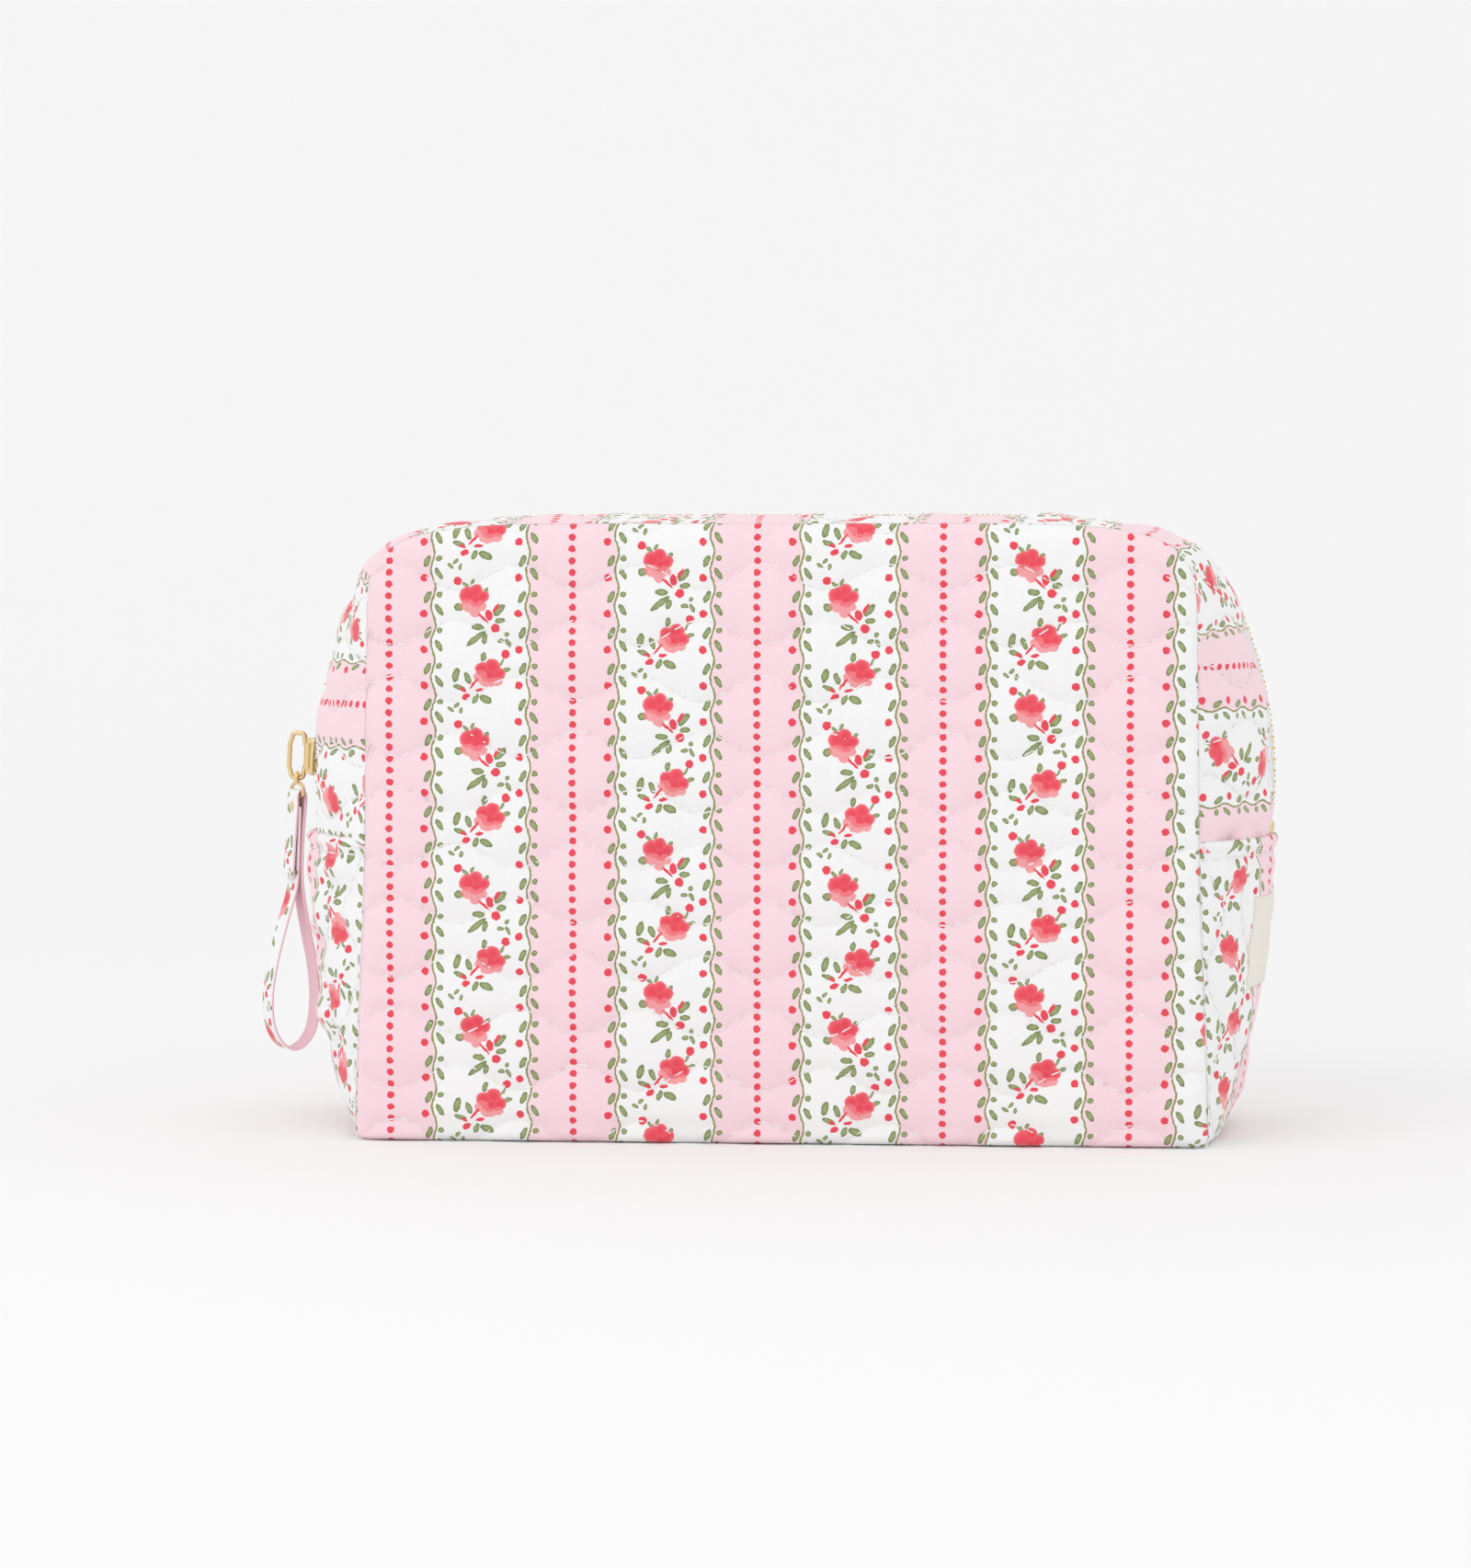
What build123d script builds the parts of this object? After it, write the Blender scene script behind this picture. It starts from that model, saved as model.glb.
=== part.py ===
from build123d import *
import math
import os

# Quilted cosmetics bag standing on its base. Millimetres, +Z up, front towards -Y.
# Origin: centre of the flat base, on the surface the bag stands on.

# ---- driving dimensions -------------------------------------------------------
half_depth = 50.0          # outer face of the front and back panels from the middle
cover_t = 2.4              # quilted cover: printed cotton sewn through to its wadding
lining_t = 0.6

side_half = 134.2          # half width at the widest point of the bulging side strip
side_radius = 120.0        # arc of the side, in the plane of the zip
side_arc_z = 97.0          # height of the widest point
side_base_half = 119.5
side_top = 170.0           # height of the zip along the top

panel_half = 112.6         # half width of the front and back panels
panel_radius = 1200.0
panel_base_half = 115.3
panel_top = 167.0
base_round = 5.0           # rounding between base and sides
least_round = 0.8
base_trim = 0.3            # cut from the sewn form's underside so that it stands flat

zip_end_z = 82.0           # the zip stops here on both sides
fold_z = 112.0             # the mouth folds open along this line
fold_gap = 0.3
tooth_pitch = 3.05
tooth_length = 1.5
tooth_width = 2.3
tooth_height = 2.4
row_gap = 0.6              # each row of teeth from the middle plane
zip_depth = 1.4            # middle of the zip below the cover's outer surface
tape_t = 0.8
tape_reach = 12.0          # edge of the tape from the middle plane
tape_shown = 6.0           # edge of the zip opening from the middle plane

binding_t = 1.8
binding_width = 3.0
binding_gap = 0.7
fit_gap = 0.2

slider_angle = 2.5         # slider's place on the side arc, closed, in degrees
slider_length = 10.6
slider_width = 9.0
slider_tail = 6.4
plate_t = 0.8
plate_gap = 0.3
web_t = 0.5
bar_d = 1.5                # bar of the slider's bridge
barrel_wall = 0.34
barrel_end_gap = 0.1
barrel_clearance = 0.06
ring_wire = 1.4
ring_reach = 5.2
ring_half_height = 6.3

strap_turn = 30.0          # the strap's flat side is turned this far from the middle plane
strap_width = 7.5
strap_t = 1.2
link_wire = 1.1
link_clearance = 0.4
link_top_half = 2.0
link_drop = 3.4
eye_half = 1.45            # the link's eye round the ring's lower bar
stem_length = 24.0
loop_half = 7.6
loop_length = 47.0
rivet_d = 2.6
rivet_head_t = 0.7

label_width = 50.0
label_height = 25.0
label_mid_z = 53.5
label_t = 0.7

# ---- values worked out from them ------------------------------------------------
gusset_half = half_depth - cover_t
lining_half = gusset_half - lining_t
shell_t = cover_t + lining_t
barrel_d = bar_d + 2 * (barrel_clearance + barrel_wall)
post_half = slider_length / 2 - 0.2
barrel_length = 2 * (post_half - bar_d - barrel_end_gap)
link_half_width = strap_width / 2 + link_clearance + link_wire / 2
low = 0.0
wide = side_half + 20.0
high = side_top + 20.0

os.makedirs("parts", exist_ok=True)


def finish(builder, name):
    """Label one finished piece and write it to its own file."""
    builder.part.label = name
    export_step(builder.part, f"parts/{name}.step")


# ---- the bag's sections -----------------------------------------------------------
side_shape = dict(
    half=side_half, radius=side_radius, base_half=side_base_half, top=side_top,
    swell=3.0, corner_drop=15.0, corner_run=7.0, shoulder_drop=8.0, shoulder_run=40.0,
)
panel_shape = dict(
    half=panel_half, radius=panel_radius, base_half=panel_base_half, top=panel_top,
    swell=0.3, corner_drop=17.0, corner_run=15.0, shoulder_drop=1.6, shoulder_run=26.0,
)


def half_points(shape, inset):
    """Right-hand points of a section, from the base round to the flat top."""
    radius = shape["radius"] - inset
    centre_x = shape["half"] - shape["radius"]
    corner_z = shape["top"] - shape["corner_drop"] - 0.3 * inset

    def on_arc(z):
        return centre_x + math.sqrt(radius**2 - (z - side_arc_z) ** 2)

    base_x = shape["base_half"] - inset
    base_z = inset - base_trim
    rounding = max(base_round - inset, least_round)
    shoulder_x = on_arc(corner_z) - shape["corner_run"]
    return dict(
        base=(base_x - rounding, base_z),
        foot=(base_x, base_z + rounding),
        waist=(on_arc(zip_end_z), zip_end_z),
        widest=(centre_x + radius, side_arc_z),
        corner=(on_arc(corner_z), corner_z),
        shoulder=(shoulder_x, shape["top"] - shape["shoulder_drop"] - inset),
        flat=(shoulder_x - shape["shoulder_run"], shape["top"] - inset),
    )


def between(first, second, out=0.0, up=0.0):
    """A point halfway between two others, pushed out and up."""
    return ((first[0] + second[0]) / 2 + out, (first[1] + second[1]) / 2 + up)


def upper_half(points):
    """Edges of a section above the end of the zip: side, corner, shoulder and top."""
    corner = points["corner"]
    shoulder = points["shoulder"]
    flat = points["flat"]
    bow = 0.12 * (corner[0] - shoulder[0] + shoulder[1] - corner[1])
    ThreePointArc(points["waist"], points["widest"], corner)
    ThreePointArc(corner, between(corner, shoulder, bow, bow), shoulder)
    ThreePointArc(shoulder, between(shoulder, flat, 0, 0.25 * (flat[1] - shoulder[1])), flat)
    Line(flat, (0, flat[1]))


def section(shape, inset):
    """Closed outline of the bag at one depth, made smaller all round by the inset."""
    points = half_points(shape, inset)
    base = points["base"]
    foot = points["foot"]
    waist = points["waist"]
    with BuildLine() as outline:
        Line((0, base[1]), base)
        RadiusArc(base, foot, -(foot[0] - base[0]))
        ThreePointArc(foot, between(foot, waist, shape["swell"]), waist)
        upper_half(points)
        mirror(about=Plane.YZ)
    make_face(outline.edges())


def bag_form(inset):
    """Solid form of the bag between its panels, bulging towards the middle."""
    with BuildPart() as form:
        with BuildSketch(Plane.XZ.offset(gusset_half)):
            section(panel_shape, inset)
        with BuildSketch(Plane.XZ):
            section(side_shape, inset)
        with BuildSketch(Plane.XZ.offset(-gusset_half)):
            section(panel_shape, inset)
        loft()
    return form.part


form_label = bag_form(-label_t)
form_outer = bag_form(0.0)
form_tape_top = bag_form(zip_depth - tape_t / 2)
form_tape_back = bag_form(zip_depth + tape_t / 2)
form_cover_back = bag_form(cover_t)
form_lining_back = bag_form(shell_t)


def region(y_from, y_to, z_from, z_to, x_from=-wide, x_to=wide):
    """Keep only what lies inside a box given by its limits."""
    with Locations(((x_from + x_to) / 2, (y_from + y_to) / 2, (z_from + z_to) / 2)):
        Box(x_to - x_from, abs(y_to - y_from), z_to - z_from, mode=Mode.INTERSECT)


def layer(outer, inner, y_from, y_to, z_from, z_to, x_from=-wide, x_to=wide):
    """One layer of the bag's strip, between two forms and inside a box."""
    with BuildPart() as piece:
        add(outer)
        add(inner, mode=Mode.SUBTRACT)
        region(y_from, y_to, z_from, z_to, x_from, x_to)
    return piece


def zip_gusset_cover(sign, z_from, z_to):
    """Quilted strip beside the zip, thinned where the tape is sewn behind its edge."""
    pocket = layer(
        form_tape_top, form_cover_back,
        sign * (tape_shown - 1), sign * (tape_reach + fit_gap), low, high,
    ).part
    with BuildPart() as piece:
        add(form_outer)
        add(form_cover_back, mode=Mode.SUBTRACT)
        region(sign * tape_shown, sign * gusset_half, z_from, z_to)
        add(pocket, mode=Mode.SUBTRACT)
    return piece


def panel_plate(sign, inset, y_near, y_far, z_from, z_to):
    """Flat layer of a front or back panel between two depths and two heights."""
    with BuildPart() as piece:
        with BuildSketch(Plane.XZ.offset(-sign * y_near)):
            section(panel_shape, inset)
        extrude(amount=-sign * (y_far - y_near))
        region(-wide, wide, z_from, z_to)
    return piece


def seam_binding(sign, z_from, z_to):
    """Bound seam allowance inside the bag, running round the edge of a panel."""
    with BuildPart() as piece:
        with BuildSketch(Plane.XZ.offset(-sign * lining_half)):
            section(panel_shape, shell_t + binding_gap)
        extrude(amount=sign * binding_t)
        with BuildSketch(Plane.XZ.offset(-sign * lining_half)):
            section(panel_shape, shell_t + binding_gap + binding_width)
        extrude(amount=sign * binding_t, mode=Mode.SUBTRACT)
        region(-wide, wide, z_from, z_to)
    return piece


# ---- panels, gussets, linings and tapes, front and back -----------------------------
below_fold = fold_z - fold_gap / 2
above_fold = fold_z + fold_gap / 2

for side_name, sign in (("front", -1), ("back", 1)):
    for part_name, z_from, z_to in (("lower", low, below_fold), ("upper", above_fold, high)):
        cover = panel_plate(sign, 0.0, gusset_half, half_depth, z_from, z_to)
        finish(cover, f"{side_name}_panel_{part_name}")
        lining = panel_plate(sign, shell_t + fit_gap, lining_half, gusset_half, z_from, z_to)
        finish(lining, f"{side_name}_lining_{part_name}")
        binding = seam_binding(sign, z_from, z_to)
        finish(binding, f"{side_name}_binding_{part_name}")

    for part_name, z_from, z_to in (("_ends", zip_end_z, below_fold), ("", above_fold, high)):
        strip = zip_gusset_cover(sign, z_from, z_to)
        finish(strip, f"{side_name}_zip_gusset{part_name}")
        backing = layer(
            form_cover_back, form_lining_back,
            sign * tape_shown, sign * lining_half, z_from, z_to,
        )
        finish(backing, f"{side_name}_zip_lining{part_name}")
        tape = layer(
            form_tape_top, form_tape_back,
            sign * (row_gap + tooth_width), sign * tape_reach, z_from, z_to,
        )
        finish(tape, f"{side_name}_zip_tape{part_name}")

base_gusset = layer(form_outer, form_cover_back, -gusset_half, gusset_half, low, zip_end_z)
finish(base_gusset, "base_gusset")

base_lining = layer(form_cover_back, form_lining_back, -lining_half, lining_half, low, zip_end_z)
finish(base_lining, "base_gusset_lining")

side_label = layer(
    form_label, form_outer, -label_width / 2, label_width / 2,
    label_mid_z - label_height / 2, label_mid_z + label_height / 2, 0, wide,
)
finish(side_label, "side_label")

# ---- teeth, in four groups, and the two stops ------------------------------------------
zip_points = half_points(side_shape, zip_depth)
with BuildLine(Plane.XZ) as zip_line:
    upper_half(zip_points)
zip_path = Wire(zip_line.edges())
stop_length = 5.0


def path_plane(distance, half):
    """Plane on the zip's line: x along it, z out of the bag; half is 1 right, -1 left."""
    along = min(max(distance / zip_path.length, 0.0), 1.0)
    point = zip_path @ along
    run = zip_path % along
    outward = Vector(run.Z * half, 0, -run.X)
    return Plane(
        origin=(point.X * half, 0, point.Z), x_dir=(run.X * half, 0, run.Z), z_dir=outward
    )


tooth_count = int((zip_path.length - stop_length - tooth_length) / tooth_pitch)
tooth_places = [zip_path.length - (number + 0.5) * tooth_pitch for number in range(tooth_count)]


def teeth_row(y_sign, keep):
    """Teeth with the sign turned where the path plane's y axis points to the back."""
    with BuildPart() as row:
        for half in (-1, 1):
            for place in tooth_places:
                if keep((zip_path @ (place / zip_path.length)).Z):
                    plane = path_plane(place, half)
                    side = y_sign * plane.y_dir.Y
                    with Locations(plane):
                        with Locations((0, side * (row_gap + tooth_width / 2), 0)):
                            Box(tooth_length, tooth_width, tooth_height)
    return row


half_tooth = tooth_length / 2
for side_name, sign in (("front", -1), ("back", 1)):
    fixed_row = teeth_row(sign, lambda z: z + half_tooth < below_fold)
    finish(fixed_row, f"{side_name}_zip_teeth_ends")
    moving_row = teeth_row(sign, lambda z: z - half_tooth > above_fold)
    finish(moving_row, f"{side_name}_zip_teeth")

for stop_name, half in (("left", -1), ("right", 1)):
    with BuildPart() as stop:
        with Locations(path_plane(stop_length / 2 + fit_gap, half)):
            Box(stop_length, 2 * (row_gap + tooth_width), tooth_height - 0.4)
    finish(stop, f"zip_stop_{stop_name}")

# ---- slider on the left side arc -------------------------------------------------------
path_radius = side_radius - zip_depth
arc_centre_x = side_half - side_radius
turn = math.radians(slider_angle)
slider_out = Vector(-math.cos(turn), 0, math.sin(turn))
slider_up = Vector(math.sin(turn), 0, math.cos(turn))
slider_origin = Vector(-arc_centre_x, 0, side_arc_z) + slider_out * path_radius
slider_plane = Plane(origin=slider_origin, x_dir=slider_up, z_dir=slider_out)
plate_from = tooth_height / 2 + plate_gap
plate_to = plate_from + plate_t
bar_out = plate_to + plate_gap + barrel_d / 2


def slider_outline():
    """Slider plate seen from outside: broad nose at the lower end, narrow tail above."""
    nose = -slider_length / 2
    tail = slider_length / 2
    with BuildLine() as plate:
        Polyline(
            (nose, -slider_width / 2), (0, -slider_width / 2), (tail, -slider_tail / 2),
            (tail, slider_tail / 2), (0, slider_width / 2), (nose, slider_width / 2), close=True,
        )
    make_face(plate.edges())


with BuildPart() as slider_body:
    with BuildSketch(slider_plane.offset(plate_from)):
        slider_outline()
    extrude(amount=plate_t)
    with BuildSketch(slider_plane.offset(-plate_to)):
        slider_outline()
    extrude(amount=plate_t)
    fillet(slider_body.edges().filter_by(Axis(slider_origin, slider_out)), 1.2)
    with BuildSketch(slider_plane.offset(-plate_from)):
        with Locations((-slider_length / 4, 0)):
            Rectangle(slider_length / 3, web_t)
    extrude(amount=2 * plate_from)
finish(slider_body, "slider_body")

with BuildPart() as slider_bridge:
    with BuildSketch(slider_plane.offset(plate_to)):
        with Locations((post_half - bar_d / 2, 0), (bar_d / 2 - post_half, 0)):
            Rectangle(bar_d, bar_d)
    extrude(amount=bar_out - plate_to)
    with BuildSketch(Plane(
        origin=slider_origin + slider_out * bar_out - slider_up * post_half,
        x_dir=(0, 1, 0), z_dir=slider_up,
    )):
        Circle(bar_d / 2)
    extrude(amount=2 * post_half)
finish(slider_bridge, "slider_bridge")

# ---- pull ring: a D of wire on a barrel that turns on the bridge's bar -----------------
bar_origin = slider_origin + slider_out * bar_out
ring_plane = Plane(origin=bar_origin, x_dir=slider_out, z_dir=slider_out.cross(slider_up))
root_height = barrel_length / 2 - ring_wire / 2
ring_flat = ring_reach / 2 + 0.15
ring_near = ring_flat - 1.5
ring_far = ring_flat + 1.5

with BuildPart() as pull_ring:
    with BuildLine(ring_plane) as ring_line:
        FilletPolyline(
            (barrel_d / 4 + 0.2, root_height), (ring_near, ring_half_height),
            (ring_far, ring_half_height), (ring_reach, ring_half_height / 2),
            (ring_reach, -ring_half_height / 2), (ring_far, -ring_half_height),
            (ring_near, -ring_half_height), (barrel_d / 4 + 0.2, -root_height),
            radius=0.95,
        )
    ring_start = ring_line.line @ 0
    with BuildSketch(Plane(origin=ring_start, z_dir=ring_line.line % 0)):
        Circle(ring_wire / 2)
    sweep()
    with BuildSketch(Plane(
        origin=bar_origin - slider_up * (barrel_length / 2), x_dir=(0, 1, 0), z_dir=slider_up,
    )):
        Circle(barrel_d / 2)
    extrude(amount=barrel_length)
    with BuildSketch(Plane(
        origin=bar_origin - slider_up * post_half, x_dir=(0, 1, 0), z_dir=slider_up,
    )):
        Circle(bar_d / 2 + barrel_clearance)
    extrude(amount=2 * post_half, mode=Mode.SUBTRACT)
finish(pull_ring, "pull_ring")

# ---- strap link, rivet and wrist strap, hanging from the ring's lower bar --------------
hang_point = bar_origin + slider_out * ring_flat - slider_up * ring_half_height
across = math.radians(strap_turn)
strap_side = Vector(math.cos(across), math.sin(across), 0)
strap_flat = Vector(-math.sin(across), math.cos(across), 0)
link_top = hang_point.Z - eye_half
link_base = link_top - link_drop
link_shoulder = link_top - 1.1
link_plane = Plane(origin=(hang_point.X, 0, 0), x_dir=strap_flat, z_dir=strap_flat.cross(Vector(0, 0, 1)))

with BuildPart() as strap_link:
    with BuildLine(link_plane) as link_line:
        FilletPolyline(
            (link_top_half, link_top), (link_half_width, link_shoulder),
            (link_half_width, link_base), (-link_half_width, link_base),
            (-link_half_width, link_shoulder), (-link_top_half, link_top),
            radius=0.7, close=True,
        )
    with BuildSketch(Plane(origin=link_line.line @ 0, z_dir=link_line.line % 0)):
        Circle(link_wire / 2)
    sweep()
    with Locations(Plane(origin=hang_point, z_dir=slider_out)):
        Torus(eye_half, link_wire / 2)
finish(strap_link, "strap_link")

strap_plane = Plane(
    origin=(hang_point.X, 0, 0), x_dir=strap_side, z_dir=strap_side.cross(Vector(0, 0, 1))
).offset(-strap_width / 2)
eye_r = link_wire / 2 + fit_gap / 2
fold_r = eye_r + strap_t
stem_end = link_base - stem_length
loop_end = stem_end - loop_length
rivet_z = link_base - fold_r - rivet_d / 2

with BuildPart() as wrist_strap:
    with BuildSketch(strap_plane):
        with Locations((0, link_base)):
            Circle(fold_r)
        with Locations((0, (link_base + stem_end) / 2)):
            Rectangle(2 * strap_t, link_base - stem_end)
        with Locations((0, link_base)):
            Circle(eye_r, mode=Mode.SUBTRACT)
    extrude(amount=strap_width)
    with BuildSketch(strap_plane):
        with Locations((0, loop_end + loop_half)):
            Circle(loop_half)
        with Locations((0, stem_end)):
            Circle(strap_t)
        make_hull()
    extrude(amount=strap_width)
    with BuildSketch(strap_plane):
        with Locations((0, loop_end + loop_half)):
            Circle(loop_half - strap_t)
        with Locations((0, stem_end - 4 * strap_t)):
            Circle(0.2)
        make_hull()
    extrude(amount=strap_width, mode=Mode.SUBTRACT)
    with BuildSketch(Plane(
        origin=Vector(hang_point.X, 0, rivet_z) - strap_side * 3 * strap_t, z_dir=strap_side,
    )):
        Circle(rivet_d / 4 + fit_gap / 2)
    extrude(amount=6 * strap_t, mode=Mode.SUBTRACT)
finish(wrist_strap, "wrist_strap")

with BuildPart() as strap_rivet:
    with BuildSketch(Plane(
        origin=Vector(hang_point.X, 0, rivet_z) - strap_side * (strap_t + rivet_head_t), z_dir=strap_side,
    )):
        Circle(rivet_d / 2)
    extrude(amount=rivet_head_t)
    with BuildSketch(Plane(
        origin=Vector(hang_point.X, 0, rivet_z) + strap_side * strap_t, z_dir=strap_side,
    )):
        Circle(rivet_d / 2)
    extrude(amount=rivet_head_t)
    with BuildSketch(Plane(
        origin=Vector(hang_point.X, 0, rivet_z) - strap_side * strap_t, z_dir=strap_side,
    )):
        Circle(rivet_d / 4)
    extrude(amount=2 * strap_t)
finish(strap_rivet, "strap_rivet")
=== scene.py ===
import math
from functools import partial

import bpy
import numpy as np
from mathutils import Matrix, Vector


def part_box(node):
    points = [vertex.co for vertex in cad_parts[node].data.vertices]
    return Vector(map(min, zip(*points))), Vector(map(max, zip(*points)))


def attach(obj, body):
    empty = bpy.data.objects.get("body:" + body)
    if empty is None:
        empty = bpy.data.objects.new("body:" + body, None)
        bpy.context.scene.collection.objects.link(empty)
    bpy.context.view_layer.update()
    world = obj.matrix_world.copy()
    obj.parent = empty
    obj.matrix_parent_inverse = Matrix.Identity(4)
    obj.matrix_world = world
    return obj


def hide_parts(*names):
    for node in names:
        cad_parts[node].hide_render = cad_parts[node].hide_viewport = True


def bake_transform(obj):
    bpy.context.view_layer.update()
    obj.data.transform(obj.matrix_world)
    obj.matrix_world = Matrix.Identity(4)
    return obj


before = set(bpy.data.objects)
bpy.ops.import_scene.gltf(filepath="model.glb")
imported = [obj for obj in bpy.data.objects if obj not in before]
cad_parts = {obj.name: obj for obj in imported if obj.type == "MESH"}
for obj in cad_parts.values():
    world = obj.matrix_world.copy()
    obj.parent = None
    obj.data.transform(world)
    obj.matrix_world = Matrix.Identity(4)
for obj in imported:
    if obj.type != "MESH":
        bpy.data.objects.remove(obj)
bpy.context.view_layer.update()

# A quilted cotton makeup bag. Shapes are worked out in millimetres and stored in metres.
# +X is the bag's right, -Y its front, +Z up; the bag stands on z = 0.

MM = 0.001
COLLECTION = bpy.context.scene.collection


def node_box(node):
    """Lowest and highest corner of a CAD node, in millimetres."""
    lowest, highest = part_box(node)
    return np.array(lowest) / MM, np.array(highest) / MM


# ---- sizes read from the frame -------------------------------------------------------
panel_low, panel_high = node_box("front_panel_lower")
top_low, top_high = node_box("front_panel_upper")
strip_low, strip_high = node_box("front_zip_gusset_ends")
mouth_low, mouth_high = node_box("front_zip_gusset")
label_low, label_high = node_box("side_label")
strap_low, strap_high = node_box("wrist_strap")
link_low = node_box("strap_link")[0]

PANEL_Y = -panel_low[1]                 # outer face of the front panel from the middle
PANEL_TOP = top_high[2]
PANEL_HALF = top_high[0]
SIDE_HALF = strip_high[0]
SIDE_TOP = mouth_high[2]
ZIP_END = strip_low[2]
SEAM_Y = PANEL_Y - 2.7                  # where panel and side strips are sewn together
ZIP_EDGE_Y = -mouth_high[1]             # folded edge beside the zip
ZIP_DEPTH = 1.15                        # middle of the zip inside the bag's outline
SIDE_ARC_Z = 97.0
SIDE_RADIUS = 120.0
COVER = 1.6                             # thickness of the padded cover

ROW_PITCH = 15.0                        # quilting: rows, their wave and its height
ROW_WAVE = 33.15
ROW_SWING = 3.3
PANEL_QUILT = (-4.1, 122.7)             # where a wave crests and where a row starts
STRIP_QUILT = (27.0, 4.0)
BASE_QUILT = (0.0, 3.0)
STRIPE = 49.8                           # print: one pink and one white stripe
STRIPE_X = -5.55                        # middle of one pink stripe


# ---- small tools ---------------------------------------------------------------------
def colour(red, green, blue):
    """Linear colour of a paint given as everyday 0-255 values."""
    value = np.array([red, green, blue]) / 255.0
    linear = np.where(value <= 0.04045, value / 12.92, ((value + 0.055) / 1.055) ** 2.4)
    return (*[float(part) for part in linear], 1.0)


def grid_faces(rows, columns, flip=False, first=0):
    """Quads of a grid of rows by columns vertices, counted from first."""
    index = first + np.arange(rows * columns).reshape(rows, columns)
    quads = np.stack([index[:-1, :-1], index[1:, :-1], index[1:, 1:], index[:-1, 1:]], -1)
    quads = quads.reshape(-1, 4)
    return quads[:, ::-1] if flip else quads


def make_mesh(name, points, quads, uv=None, smooth=True):
    """Mesh object from points in millimetres, quads and one UV in metres per vertex."""
    mesh = bpy.data.meshes.new(name)
    mesh.vertices.add(len(points))
    mesh.vertices.foreach_set("co", (np.asarray(points) * MM).astype(np.float32).ravel())
    quads = np.asarray(quads, np.int32)
    mesh.loops.add(quads.size)
    mesh.loops.foreach_set("vertex_index", quads.ravel())
    mesh.polygons.add(len(quads))
    mesh.polygons.foreach_set("loop_start", np.arange(0, quads.size, 4, dtype=np.int32))
    if uv is not None:
        layer = mesh.uv_layers.new(name="cloth")
        layer.data.foreach_set("uv", (np.asarray(uv) * MM)[quads.ravel()].astype(np.float32).ravel())
    mesh.polygons.foreach_set("use_smooth", np.full(len(quads), smooth))
    mesh.update(calc_edges=True)
    mesh.validate()
    piece = bpy.data.objects.new(name, mesh)
    COLLECTION.objects.link(piece)
    return piece


def pair(first, second):
    """Two measures side by side, as UV places in mm."""
    return np.stack(np.broadcast_arrays(first, second), -1)


def unit(vectors):
    """Vectors scaled to length one."""
    return vectors / np.maximum(np.linalg.norm(vectors, axis=-1, keepdims=True), 1e-9)


def normals(surface, outward):
    """Unit normals of a grid surface: the cross product of its two runs, times outward."""
    along = np.gradient(surface, axis=0)
    across = np.gradient(surface, axis=1)
    return unit(np.cross(along, across)) * outward


def shell(name, surface, outward, thickness, uv):
    """Closed padded sheet: a grid surface, its copy moved inwards, and walls round the edge."""
    rows, columns = surface.shape[:2]
    inner = surface - normals(surface, outward) * thickness
    points = np.concatenate([surface.reshape(-1, 3), inner.reshape(-1, 3)])
    flip = outward < 0
    count = rows * columns
    index = np.arange(count).reshape(rows, columns)
    border = np.concatenate([index[:-1, 0], index[-1, :-1], index[:0:-1, -1], index[0, :0:-1]])
    following = np.roll(border, -1)
    wall = np.stack([following, border, border + count, following + count], -1)
    faces = np.concatenate([
        grid_faces(rows, columns, flip), grid_faces(rows, columns, not flip, count),
        wall[:, ::-1] if flip else wall,
    ])
    return make_mesh(name, points, faces, np.concatenate([uv.reshape(-1, 2)] * 2))


def curve(points, steps):
    """Catmull-Rom line through the points, with the same number of steps in every span."""
    points = np.array(points, float)
    padded = np.concatenate([[2 * points[0] - points[1]], points, [2 * points[-1] - points[-2]]])
    share = np.linspace(0, 1, steps, endpoint=False)[:, None]
    spans = []
    for a, b, c, d in zip(padded[:-3], padded[1:-2], padded[2:-1], padded[3:]):
        spans.append(0.5 * (2 * b + (c - a) * share + (2 * a - 5 * b + 4 * c - d) * share**2
                            + (3 * b - a - 3 * c + d) * share**3))
    return np.concatenate(spans + [points[-1:]])


def ripple(first, second, size, seed):
    """Soft random relief from -1 to 1: six sine waves of about one size, in random directions."""
    random = np.random.default_rng(seed)
    total = 0
    for _ in range(6):
        angle, phase = random.uniform(0, 2 * math.pi, 2)
        length = size * random.uniform(0.7, 1.5)
        along = first * math.cos(angle) + second * math.sin(angle)
        total = total + np.sin(along * 2 * math.pi / length + phase)
    return total / 3.5


def roll(gap, reach):
    """Height of a rolled edge: a quarter circle from 0 at the edge to 1 at the reach."""
    return np.sqrt(np.clip(1 - (1 - np.clip(gap / reach, 0, 1)) ** 2, 0, 1))


def bilinear(grid, row, column):
    """Values of a grid at fractional rows and columns."""
    row = np.clip(row, 0, grid.shape[0] - 1.001)
    column = np.clip(column, 0, grid.shape[1] - 1.001)
    r, c = row.astype(int), column.astype(int)
    fr, fc = (row - r)[..., None], (column - c)[..., None]
    return ((grid[r, c] * (1 - fc) + grid[r, c + 1] * fc) * (1 - fr)
            + (grid[r + 1, c] * (1 - fc) + grid[r + 1, c + 1] * fc) * fr)


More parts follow.
